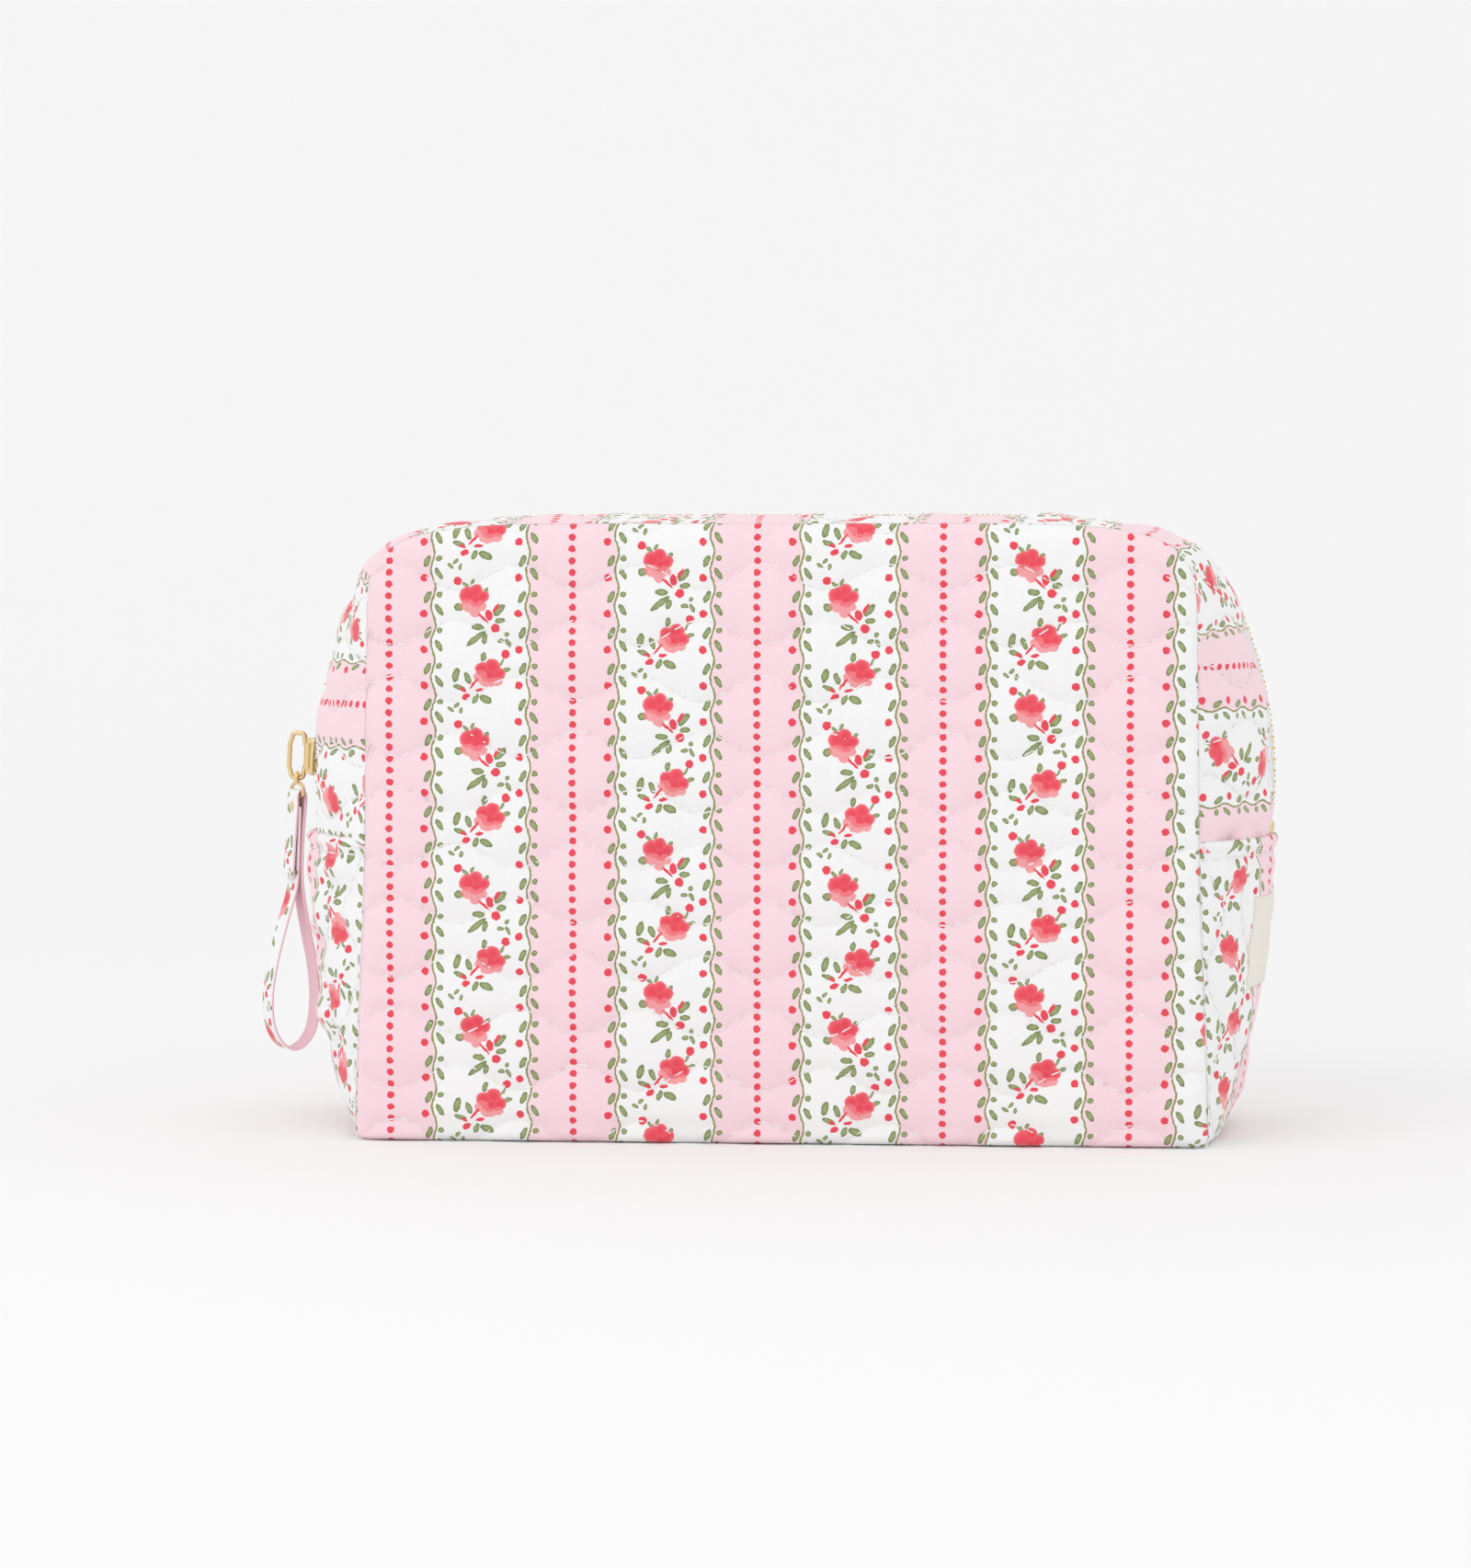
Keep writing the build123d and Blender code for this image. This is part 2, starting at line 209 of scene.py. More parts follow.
def place_many(name, shape, faces, origins, run, side, out):
    """Copies of one small shape: each point is origin + run x + side y + out z."""
    points = (origins[:, None] + run[:, None] * shape[None, :, :1]
              + side[:, None] * shape[None, :, 1:2] + out[:, None] * shape[None, :, 2:])
    offsets = np.arange(len(origins))[:, None, None] * len(shape)
    return make_mesh(name, points.reshape(-1, 3), (faces[None] + offsets).reshape(-1, 4))


def rings(profile, sides):
    """Closed small shape along x: an ellipse of given half width and height at each station."""
    angle = np.linspace(0, 2 * math.pi, sides, endpoint=False)
    points = np.array([[x, half * math.cos(a), tall * math.sin(a)]
                       for x, half, tall in profile for a in angle])
    index = np.arange(len(points)).reshape(len(profile), sides)
    turned = np.roll(index, -1, axis=1)
    faces = np.stack([index[:-1], turned[:-1], turned[1:], index[1:]], -1).reshape(-1, 4)
    caps = []
    for ring in (index[0][::-1], index[-1]):
        for k in range(1, sides - 2, 2):
            caps.append([ring[0], ring[k], ring[k + 1], ring[k + 2]])
    return points, np.concatenate([faces, np.array(caps)])


# ---- materials -----------------------------------------------------------------------
def add_node(tree, kind, **settings):
    """New node with its settings; numbered keys in 'inputs' set its sockets."""
    node = tree.nodes.new(kind)
    sockets = settings.pop("inputs", {})
    for key, value in settings.items():
        setattr(node, key, value)
    set_inputs(node, sockets)
    return node


def set_inputs(node, values):
    """Sets unlinked sockets by name."""
    for key, value in values.items():
        node.inputs[key].default_value = value


def noise(tree, vector, scale, detail):
    """Noise texture that follows a vector socket."""
    node = add_node(tree, "ShaderNodeTexNoise", inputs={"Scale": scale, "Detail": detail})
    tree.links.new(vector, node.inputs["Vector"])
    return node


def ramp(tree, value, ends, **settings):
    """Value mapped between the named ends."""
    node = add_node(tree, "ShaderNodeMapRange", inputs=ends, **settings)
    tree.links.new(value, node.inputs["Value"])
    return node.outputs["Result"]


def math_node(tree, operation, first, second=None, third=None):
    """One number worked out from sockets or plain numbers."""
    node = add_node(tree, "ShaderNodeMath", operation=operation)
    for place, value in enumerate((first, second, third)):
        if value is None:
            continue
        if isinstance(value, (int, float)):
            node.inputs[place].default_value = value
        else:
            tree.links.new(value, node.inputs[place])
    return node.outputs[0]


def group(name, inputs, outputs):
    """Empty shader node group with named sockets; returns tree, input node and output node."""
    tree = bpy.data.node_groups.new(name, "ShaderNodeTree")
    for label, kind, default in inputs:
        socket = tree.interface.new_socket(label, in_out="INPUT", socket_type=kind)
        if default is not None:
            socket.default_value = default
    for label, kind in outputs:
        tree.interface.new_socket(label, in_out="OUTPUT", socket_type=kind)
    return tree, tree.nodes.new("NodeGroupInput"), tree.nodes.new("NodeGroupOutput")


def repeat(tree, value, period, shift=0.0):
    """Value folded into -period/2 .. period/2, after adding shift."""
    moved = math_node(tree, "ADD", value, shift + period / 2)
    folded = math_node(tree, "FLOORED_MODULO", moved, period)
    return math_node(tree, "SUBTRACT", folded, period / 2)


def blobs(tree, across, along, shapes):
    """Smallest of the shapes' radii, 1 on each ellipse (x, y, half length, half width, degrees)."""
    joined = add_node(tree, "ShaderNodeCombineXYZ")
    tree.links.new(across, joined.inputs[0])
    tree.links.new(along, joined.inputs[1])
    smallest = None
    for x, y, half_length, half_width, degrees in shapes:
        place = add_node(tree, "ShaderNodeMapping", vector_type="TEXTURE")
        place.inputs["Location"].default_value = (x, y, 0)
        place.inputs["Rotation"].default_value = (0, 0, math.radians(degrees))
        place.inputs["Scale"].default_value = (half_length, half_width, 1)
        tree.links.new(joined.outputs[0], place.inputs[0])
        size = add_node(tree, "ShaderNodeVectorMath", operation="LENGTH")
        tree.links.new(place.outputs[0], size.inputs[0])
        radius = size.outputs["Value"]
        smallest = radius if smallest is None else math_node(tree, "MINIMUM", smallest, radius)
    return smallest


def inside(tree, radius, soft=0.16, edge=1.0):
    """Mask that is 1 inside the edge and fades over a soft border."""
    ends = {"From Min": edge + soft / 2, "From Max": edge - soft / 2}
    return ramp(tree, radius, ends, interpolation_type="SMOOTHSTEP")


def paint(tree, under, over, mask):
    """Colour mixed over another where the mask is 1."""
    node = add_node(tree, "ShaderNodeMix", data_type="RGBA")
    tree.links.new(mask, node.inputs["Factor"])
    for value, socket in ((under, node.inputs[6]), (over, node.inputs[7])):
        if isinstance(value, tuple):
            socket.default_value = value
        else:
            tree.links.new(value, socket)
    return node.outputs[2]


PINK = colour(251, 221, 229)
WHITE = colour(247, 247, 247)
RED = colour(238, 78, 94)
ROSE_LIGHT = colour(248, 148, 152)
LEAF = colour(158, 172, 122)
LEAF_EDGE = colour(116, 130, 76)
STEM = colour(150, 152, 96)

ROSE_PERIOD = 38.7
ROSE_A_RED = [(-1.7, 1.6, 2.5, 2.3, 20), (0.4, 2.6, 1.9, 2.0, 0), (2.2, 1.0, 2.0, 1.6, 30),
              (0.6, 0.2, 2.2, 1.9, 0)]
ROSE_A_LIGHT = [(-1.5, -1.4, 2.4, 1.7, -12), (0.2, -3.0, 1.5, 1.5, 0), (1.9, -1.4, 1.6, 1.3, -30)]
ROSE_A_TRIM = [(2.5, -4.7, 2.0, 0.36, -42), (4.0, -3.8, 1.0, 1.5, 12), (5.7, -7.4, 1.25, 1.2, 0),
               (-4.5, 5.4, 1.15, 1.15, 0), (6.0, -2.0, 1.5, 0.5, 55)]
ROSE_A_LEAF = [(6.9, -2.5, 2.1, 0.95, 47), (7.1, -5.3, 1.4, 0.8, 8), (0.9, -7.1, 1.7, 0.85, -6),
               (0.5, -10.1, 3.2, 0.8, 38), (2.8, -10.3, 1.4, 0.75, 76), (8.8, -9.0, 0.7, 0.6, 60),
               (7.1, -10.8, 1.0, 0.6, 5), (9.1, -11.3, 1.25, 0.55, -62), (-4.3, -1.7, 1.2, 1.1, 0),
               (-2.4, 4.3, 1.1, 0.5, -40), (-0.6, 5.0, 1.0, 0.45, 60), (3.2, 2.7, 0.9, 0.6, 50)]
ROSE_B_RED = [(1.0, 1.7, 2.2, 2.1, 0), (-1.5, 1.0, 2.1, 1.9, -20), (2.6, -0.4, 2.0, 1.7, 25),
              (0.2, -0.6, 2.3, 1.9, 0)]
ROSE_B_LIGHT = [(-2.2, -0.9, 1.9, 1.5, 18), (-0.2, -2.6, 2.2, 1.3, 0), (2.3, -2.3, 1.4, 1.2, 0)]
ROSE_B_TRIM = [(-4.0, -2.9, 1.9, 0.36, 50), (-2.6, -4.6, 1.2, 0.5, 8), (-6.3, -6.4, 1.2, 0.8, 22),
               (4.6, 5.0, 1.15, 1.15, 0), (-6.9, -4.6, 1.0, 0.45, -30)]
ROSE_B_LEAF = [(-1.3, 4.3, 1.3, 0.75, 80), (4.9, 0.8, 1.1, 0.6, 15), (-8.8, -0.6, 2.0, 0.95, 76),
               (-5.6, -1.4, 1.7, 0.8, 112), (-7.9, -4.0, 1.8, 0.7, -20), (-3.7, -7.0, 1.4, 0.75, 66),
               (-0.8, -7.1, 1.9, 1.0, -24), (-8.8, -8.7, 0.9, 0.5, 40), (-10.3, -9.9, 1.0, 0.5, -35),
               (-7.6, -10.2, 0.9, 0.5, 75), (3.7, 3.0, 1.1, 0.35, 62)]
VINE_PERIOD = 9.65
VINE_LEAF = [(-1.5, 2.5, 1.75, 0.8, 64), (1.75, 3.2, 0.85, 0.75, 20), (1.6, -0.9, 1.75, 0.75, -58)]
VINE_BERRY = [(-2.5, -2.0, 1.05, 1.05, 0)]
DOT_PITCH = 3.14


def print_group():
    """Floral stripe print. Vector: cloth place in metres, x across the stripes, 0 mid-pink."""
    tree, given, result = group(
        "floral stripe print", [("Vector", "NodeSocketVector", None)],
        [("Color", "NodeSocketColor")],
    )
    calc, blob = partial(math_node, tree), partial(blobs, tree)
    scale = add_node(tree, "ShaderNodeVectorMath", operation="SCALE", inputs={"Scale": 1 / MM})
    tree.links.new(given.outputs[0], scale.inputs[0])
    wobble = noise(tree, scale.outputs[0], 0.9, 2.0)
    centred = add_node(tree, "ShaderNodeVectorMath", operation="MULTIPLY_ADD")
    centred.inputs[1].default_value = (0.7, 0.7, 0)
    tree.links.new(wobble.outputs["Color"], centred.inputs[0])
    tree.links.new(scale.outputs[0], centred.inputs[2])
    split = add_node(tree, "ShaderNodeSeparateXYZ")
    tree.links.new(centred.outputs[0], split.inputs[0])
    across = calc("SUBTRACT", split.outputs[0], 0.35)
    along = calc("SUBTRACT", split.outputs[1], 0.35)

    pink_x = repeat(tree, across, STRIPE)
    white_x = repeat(tree, across, STRIPE, STRIPE / 2)
    vine_wave = calc("MULTIPLY", along, 2 * math.pi / VINE_PERIOD)
    stem_x = calc("MULTIPLY", calc("COSINE", vine_wave), -0.55)
    left_x = calc("ADD", pink_x, 12.0)
    right_x = calc("SUBTRACT", pink_x, 12.0)
    near_left = calc("LESS_THAN", pink_x, 0.0)
    vine_x = calc("ADD", calc("MULTIPLY", left_x, near_left),
                       calc("MULTIPLY", right_x, calc("SUBTRACT", 1.0, near_left)))
    off_stem = calc("SUBTRACT", vine_x, stem_x)
    stem_gap = calc("ABSOLUTE", off_stem)
    pink_side = calc("MULTIPLY", off_stem,
                          calc("SUBTRACT", calc("MULTIPLY", near_left, 2.0), 1.0))
    pink_mask = calc("GREATER_THAN", pink_side, 0.0)
    ground = paint(tree, WHITE, PINK, pink_mask)

    vine_y = repeat(tree, along, VINE_PERIOD)
    dot_y = repeat(tree, along, DOT_PITCH)
    band = calc("FLOOR", calc("DIVIDE", across, STRIPE))
    odd = calc("FLOORED_MODULO", band, 2.0)
    rose_y = calc("ADD", along, calc("MULTIPLY_ADD", odd, -9.4, 8.6))
    a_y = repeat(tree, rose_y, ROSE_PERIOD)
    b_y = repeat(tree, rose_y, ROSE_PERIOD, ROSE_PERIOD / 2)
    a_x = calc("ADD", white_x, 1.7)
    b_x = calc("SUBTRACT", white_x, 2.2)

    def roses(shapes_a, shapes_b):
        return calc("MINIMUM", blob(a_x, a_y, shapes_a), blob(b_x, b_y, shapes_b))

    leaves = calc("MINIMUM", blob(vine_x, vine_y, VINE_LEAF), roses(ROSE_A_LEAF, ROSE_B_LEAF))
    petals = roses(ROSE_A_RED, ROSE_B_RED)
    pale = roses(ROSE_A_LIGHT, ROSE_B_LIGHT)
    trims = roses(ROSE_A_TRIM, ROSE_B_TRIM)
    berries = calc("MINIMUM", blob(vine_x, vine_y, VINE_BERRY), blob(pink_x, dot_y, [(0, 0, 0.98, 0.95, 0)]))

    grain = noise(tree, scale.outputs[0], 2.2, 3.0).outputs[0]
    grainy_leaf = calc("ADD", leaves, calc("MULTIPLY_ADD", grain, 0.9, -0.45))
    leaf_paint = paint(tree, LEAF_EDGE, LEAF, ramp(tree, grainy_leaf, {"From Min": 0.95, "From Max": 0.45}))
    rose_core = ramp(tree, grain, {"From Min": 0.35, "From Max": 0.65})
    pale_paint = paint(tree, ROSE_LIGHT, RED, calc("MULTIPLY", rose_core, 0.6))
    rim = calc("POWER", calc("MINIMUM", petals, 1.0), 3.0)
    petal_mix = calc("MULTIPLY", rim, calc("MULTIPLY_ADD", rose_core, -0.5, 0.85))
    petal_paint = paint(tree, RED, ROSE_LIGHT, petal_mix)

    stem = inside(tree, stem_gap, 0.14, 0.27)
    painted = paint(tree, ground, STEM, stem)
    painted = paint(tree, painted, leaf_paint, inside(tree, leaves))
    painted = paint(tree, painted, petal_paint, inside(tree, petals))
    painted = paint(tree, painted, pale_paint, calc("MULTIPLY", inside(tree, pale), 0.8))
    painted = paint(tree, painted, RED, inside(tree, trims))
    painted = paint(tree, painted, RED, inside(tree, berries))
    tree.links.new(painted, result.inputs["Color"])
    return tree


def weave_group():
    """Plain weave: product of two fine waves along the cloth, plus soft slubs in the yarn."""
    tree, given, result = group(
        "plain weave", [("Vector", "NodeSocketVector", None), ("Threads per mm", "NodeSocketFloat", 2.2)],
        [("Height", "NodeSocketFloat"), ("Tint", "NodeSocketFloat")],
    )
    scale = add_node(tree, "ShaderNodeVectorMath", operation="SCALE")
    count = math_node(tree, "MULTIPLY", given.outputs[1], 2 * math.pi / MM)
    tree.links.new(given.outputs[0], scale.inputs[0])
    tree.links.new(count, scale.inputs["Scale"])
    split = add_node(tree, "ShaderNodeSeparateXYZ")
    tree.links.new(scale.outputs[0], split.inputs[0])
    waves = [math_node(tree, "SINE", split.outputs[axis]) for axis in (0, 1)]
    over = math_node(tree, "MULTIPLY", *waves)
    slub = noise(tree, given.outputs[0], 900.0, 3.0)
    height = math_node(tree, "MULTIPLY_ADD", over, 0.5, math_node(tree, "MULTIPLY", slub.outputs[0], 0.6))
    tree.links.new(height, result.inputs["Height"])
    tint = ramp(tree, slub.outputs[0], {"To Min": 0.955, "To Max": 1.0})
    tree.links.new(tint, result.inputs["Tint"])
    return tree


PRINT = print_group()
WEAVE = weave_group()


def cloth_material(name, base, threads=2.2, bump=0.25, roughness=0.86, sheen=0.25, printed=False):
    """Woven cotton: a plain or printed colour, shaded by the weave, with a soft sheen."""
    material = bpy.data.materials.new(name)
    material.use_nodes = True
    tree = material.node_tree
    shader = tree.nodes["Principled BSDF"]
    set_inputs(shader, {"Roughness": roughness, "Sheen Weight": sheen, "Sheen Roughness": 0.45,
                        "Specular IOR Level": 0.25})
    place = add_node(tree, "ShaderNodeUVMap", uv_map="cloth")
    weave = add_node(tree, "ShaderNodeGroup", node_tree=WEAVE)
    weave.inputs["Threads per mm"].default_value = threads
    tree.links.new(place.outputs[0], weave.inputs["Vector"])
    if printed:
        pattern = add_node(tree, "ShaderNodeGroup", node_tree=PRINT)
        tree.links.new(place.outputs[0], pattern.inputs["Vector"])
        ground = pattern.outputs["Color"]
    else:
        tone = noise(tree, place.outputs[0], 60.0, 3.0)
        darker = tuple(0.9 * part for part in base[:3]) + (1.0,)
        ground = paint(tree, darker, base, tone.outputs[0])
    shade = add_node(tree, "ShaderNodeVectorMath", operation="SCALE")
    tree.links.new(ground, shade.inputs[0])
    tree.links.new(weave.outputs["Tint"], shade.inputs["Scale"])
    tree.links.new(shade.outputs[0], shader.inputs["Base Color"])
    relief = add_node(tree, "ShaderNodeBump", inputs={"Strength": bump, "Distance": 0.00012})
    tree.links.new(weave.outputs["Height"], relief.inputs["Height"])
    tree.links.new(relief.outputs[0], shader.inputs["Normal"])
    return material


def metal_material(name, base, roughness=0.22):
    """Plated metal: object-space noise varies its roughness and colour a little."""
    material = bpy.data.materials.new(name)
    material.use_nodes = True
    tree = material.node_tree
    shader = tree.nodes["Principled BSDF"]
    shader.inputs["Metallic"].default_value = 1.0
    place = add_node(tree, "ShaderNodeTexCoord")
    wear = noise(tree, place.outputs["Object"], 900.0, 4.0)
    rough = ramp(tree, wear.outputs[0], {"To Min": roughness * 0.7, "To Max": roughness * 1.5})
    tree.links.new(rough, shader.inputs["Roughness"])
    darker = tuple(0.8 * part for part in base[:3]) + (1.0,)
    tree.links.new(paint(tree, darker, base, wear.outputs[0]), shader.inputs["Base Color"])
    return material


PRINTED = cloth_material("printed quilted cotton", WHITE, printed=True)
LINING = cloth_material("lining cotton", colour(250, 214, 224), bump=0.3)
BINDING = cloth_material("binding tape", colour(246, 190, 206), threads=1.6, bump=0.4)
PLAIN_PINK = cloth_material("strap inner cotton", colour(251, 212, 222), bump=0.3)
THREAD = cloth_material("sewing thread", colour(252, 250, 250), threads=4.0, bump=0.2)
ZIP_CLOTH = cloth_material("zip tape cotton", colour(242, 243, 243), threads=1.4, bump=0.6)
LABEL_CLOTH = cloth_material("woven label", colour(246, 242, 232), threads=1.8, bump=0.5)
GOLD = metal_material("pale gold plating", colour(244, 218, 168), 0.16)
TEETH_GOLD = metal_material("zip teeth gold", colour(236, 206, 152), 0.24)


def dress(piece, material):
    """Gives a piece its material."""
    piece.data.materials.clear()
    piece.data.materials.append(material)
    return piece


# ---- the bag's outlines --------------------------------------------------------------
def side_arc(height):
    """x of the bulging side at a height: an arc about a centre inside the bag."""
    return SIDE_HALF - SIDE_RADIUS + math.sqrt(SIDE_RADIUS**2 - (height - SIDE_ARC_Z) ** 2)


STEPS = 16
LAP = 3.0               # the zip's strips run on under the base strip's folded edge
MID_UPPER = [(side_arc(z), z) for z in (ZIP_END - LAP, 97.0, 112.0, 127.0, 141.0, 150.0)] + [
    (117.4, 157.4), (111.0, 162.4), (98.0, 166.8), (80.0, 169.3), (55.0, SIDE_TOP), (25.0, SIDE_TOP),
    (0.0, SIDE_TOP)]
SEAM_UPPER = [(112.5, ZIP_END - LAP), (112.4, 97.0), (112.2, 112.0), (112.0, 127.0), (111.8, 138.0),
              (111.6, 146.0),
              (109.9, 154.5), (105.0, 160.6), (96.0, 164.3), (80.0, 166.4), (55.0, PANEL_TOP),
              (25.0, PANEL_TOP),
              (0.0, PANEL_TOP)]
MID_LOWER = [(0, 0.2), (40, 0.2), (80, 0.2), (108, 0.3), (119.0, 1.6), (123.0, 8.0), (126.0, 18.0),
             (128.6, 30.0),
             (130.6, 43.0), (132.0, 56.0), (133.2, 69.0), (side_arc(ZIP_END), ZIP_END)]
SEAM_LOWER = [(0, 0.2), (40, 0.2), (80, 0.2), (108, 0.2), (114.6, 1.0), (115.1, 8.0), (114.9, 18.0),
              (114.4, 30.0),
              (113.9, 43.0), (113.3, 56.0), (112.8, 69.0), (112.5, ZIP_END)]


def whole(points):
    """Line from the left end over to the right end: the right half and its mirror image."""
    half = curve(points, STEPS)
    return np.concatenate([half[:-1] * [-1, 1], half[::-1]]) if half[-1, 0] == 0 else np.concatenate(
        [half[::-1] * [-1, 1], half[1:]])


def travelled(line):
    """Distance along a line of points, measured from its start."""
    return np.concatenate([[0], np.cumsum(np.linalg.norm(np.diff(line, axis=0), axis=1))])


def run_length(line):
    """Distance along a line of points, measured from its middle."""
    total = travelled(line)
    return total - total[-1] / 2


SEAM_TOP = whole(SEAM_UPPER)
MID_TOP = whole(MID_UPPER)
SEAM_BASE = whole(SEAM_LOWER)
MID_BASE = whole(MID_LOWER)


# ---- quilting ------------------------------------------------------------------------
def quilt(wave, row, wave_start, row_start):
    """Relief of the quilting. Rows are 15 mm apart and swing as cosines in turn; between two
    rows the wadding rises as a power of a sine, and beside a row the cloth puckers."""
    below = np.full_like(row, -1e6)
    above = np.full_like(row, 1e6)
    first = int(math.floor((row.min() - row_start) / ROW_PITCH)) - 2
    last = int(math.ceil((row.max() - row_start) / ROW_PITCH)) + 2
    for number in range(first, last + 1):
        line = row_line(number, wave, wave_start, row_start)
        below = np.where(line <= row, np.maximum(below, line), below)
        above = np.where(line > row, np.minimum(above, line), above)
    gap = above - below
    share = (row - below) / gap
    puff = np.sin(math.pi * share) ** 0.6 * np.clip(gap / ROW_PITCH, 0.6, 1.3)
    near = np.exp(-np.minimum(row - below, above - row) / 2.2)
    pucker = near * (0.16 * np.sin(wave * 1.55 + row * 0.35) + 0.1 * np.sin(wave * 0.83 + 1.7))
    return puff, pucker


def row_line(number, wave, wave_start, row_start):
    """Place of one quilting row."""
    swing = ROW_SWING * np.cos(2 * math.pi * (wave - wave_start) / ROW_WAVE)
    return row_start + ROW_PITCH * number + (-1) ** number * swing


STITCH_SHAPE, STITCH_FACES = rings(
    [(-1.6, 0.05, 0.05), (-1.25, 0.22, 0.2), (0, 0.27, 0.24), (1.25, 0.22, 0.2), (1.6, 0.05, 0.05)], 6)
STITCH_PITCH = 3.75
AHEAD = 0.5             # a stitch points at the place this far on


def sew(name, centres, ahead, out, hold):
    """Running stitches: thread capsules along the line to the next point."""
    run = unit(ahead - centres)
    side = unit(np.cross(out, run))
    piece = place_many(name, STITCH_SHAPE, STITCH_FACES, centres, run, side, np.cross(run, side))
    thread_uv(piece)
    piece.data.materials.append(THREAD)
    hold(piece)


def thread_uv(piece):
    """Adds a flat cloth UV from x and z, which the thread's weave follows."""
    mesh = piece.data
    points = np.empty(len(mesh.vertices) * 3, np.float32)
    mesh.vertices.foreach_get("co", points)
    index = np.empty(len(mesh.loops), np.int32)
    mesh.loops.foreach_get("vertex_index", index)
    layer = mesh.uv_layers.new(name="cloth")
    layer.data.foreach_set("uv", points.reshape(-1, 3)[index][:, [0, 2]].ravel())


# ---- front and back panels -----------------------------------------------------------
SIDE_END = 146.0        # height at which the panel's straight side ends
HALF_TOP = curve(SEAM_UPPER, STEPS)
HALF_SIDE = np.concatenate([curve(SEAM_LOWER, STEPS)[:-1], HALF_TOP[HALF_TOP[:, 1] >= ZIP_END]])


def top_height(x):
    """Height of the panel's edge over a place x along the top."""
    part = HALF_TOP[HALF_TOP[:, 1] >= SIDE_END - 0.01][::-1]
    return np.interp(np.abs(x), part[:, 0], part[:, 1])


def half_width(z):
    """Half width of the panel at a height, below its top corners."""
    x, height = HALF_SIDE.T
    part = HALF_SIDE[(height <= SIDE_END + 0.01) & (x > 114.0 - height * 0.2 - 6)]
    return np.interp(z, part[:, 1], part[:, 0])


def panel_relief(x, z, seed):
    """How far a panel's surface stands out from its seam: an edge that rolls over as a
    quarter circle, a slight belly, quilting, and soft creases."""
    side_gap = np.clip(half_width(np.minimum(z, SIDE_END)) - np.abs(x), 0, None)
    top_gap = np.clip(top_height(np.clip(np.abs(x), 0, PANEL_HALF)) - z, 0, None)
    base_gap = np.clip(z, 0, None)

    edge = roll(side_gap, 6.0) * roll(top_gap, 7.0) * roll(base_gap, 3.5)
    puff, pucker = quilt(x, z, *PANEL_QUILT)
    belly = 1.2 * np.cos(np.clip(x / 118, -1, 1) * math.pi / 2) * np.sin(np.clip(z / 168, 0, 1) * math.pi)
    seam_ripple = np.exp(-np.minimum(np.minimum(side_gap, top_gap), base_gap) / 5.0)
    crease = 0.35 * ripple(x, z, 38, seed) + 0.14 * ripple(x, z, 11, seed + 1)
    along = np.where(top_gap < side_gap, x, z)
    tuck = seam_ripple * 0.45 * np.sin(along * 2 * math.pi / 7.3 + 0.8 * np.sin(along / 9.0))
    return edge * (2.0 + 1.75 * puff + pucker + belly + crease) + edge * tuck


def mouth(piece):
    """Bakes the piece's placement into its mesh; it is not attached to the base or to a mouth flap."""
    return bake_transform(piece)


def with_base(piece):
    """The piece stays with the base."""
    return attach(piece, "root")


def panel(side_name, sign, seed):
    """Panel grid: x = u times the half width, z = v times the top edge's height."""
    u = np.linspace(-1, 1, 261)[:, None]
    v = (0.5 - 0.5 * np.cos(np.linspace(0, math.pi, 191)))[None] * 0.35 + np.linspace(0, 1, 191)[None] * 0.65
    x = u * half_width(v * SIDE_END)
    z = v * top_height(u * PANEL_HALF_TOP)
    relief = panel_relief(x, z, seed)
    surface = np.stack([x, sign * (SEAM_Y + relief), z + 0 * x], -1)
    uv = pair(x - STRIPE_X, z)
    piece = shell(f"{side_name}_panel", surface, -sign, COVER, uv)
    dress(piece, PRINTED)
    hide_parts(f"{side_name}_panel_lower", f"{side_name}_panel_upper")
    mouth(piece)

    places = np.arange(-PANEL_HALF - 4, PANEL_HALF + 4, STITCH_PITCH)
    centres, ahead = [], []
    for number in range(-9, 4):
        z_here = row_line(number, places, *PANEL_QUILT)
        z_next = row_line(number, places + AHEAD, *PANEL_QUILT)
        keep = ((np.abs(places) < half_width(np.clip(z_here, 0, SIDE_END)) - 2.5)
                & (z_here < top_height(places) - 2.5) & (z_here > 2.5))
        for bag, px, pz in ((centres, places, z_here), (ahead, places + AHEAD, z_next)):
            depth = SEAM_Y + panel_relief(px, pz, seed) + 0.22
            bag.append(np.stack([px, sign * depth, pz], -1)[keep])
    centres, ahead = np.concatenate(centres), np.concatenate(ahead)
    out = np.tile([0.0, sign, 0.0], (len(centres), 1))
    sew(f"{side_name}_panel_stitches", centres, ahead, out, lambda p: mouth(p))


PANEL_HALF_TOP = float(HALF_TOP[HALF_TOP[:, 1] >= SIDE_END - 0.01][:, 0].max())
panel("front", -1, 11)
panel("back", 1, 31)


# ---- side strips ---------------------------------------------------------------------
def strip_points(seam, mid, run, width, side=1.0):
    """Place on the bulging strip: between seam and middle by one minus the square of width.
    run counts points along the outlines, width is 0 on the middle plane and 1 at the seam."""
    base = bilinear(seam[:, None].repeat(2, 1), run, 0 * run)
    crown = bilinear(mid[:, None].repeat(2, 1), run, 0 * run)
    place = base + (1 - width[..., None] ** 2) * (crown - base)
    return np.stack([place[..., 0], side * width * SEAM_Y, place[..., 1]], -1)


SEAM_RUN = run_length(SEAM_TOP)
TOP_STEPS = len(SEAM_TOP)
TOP_RUN = run_length(MID_TOP)
BASE_RUN = run_length(MID_BASE)


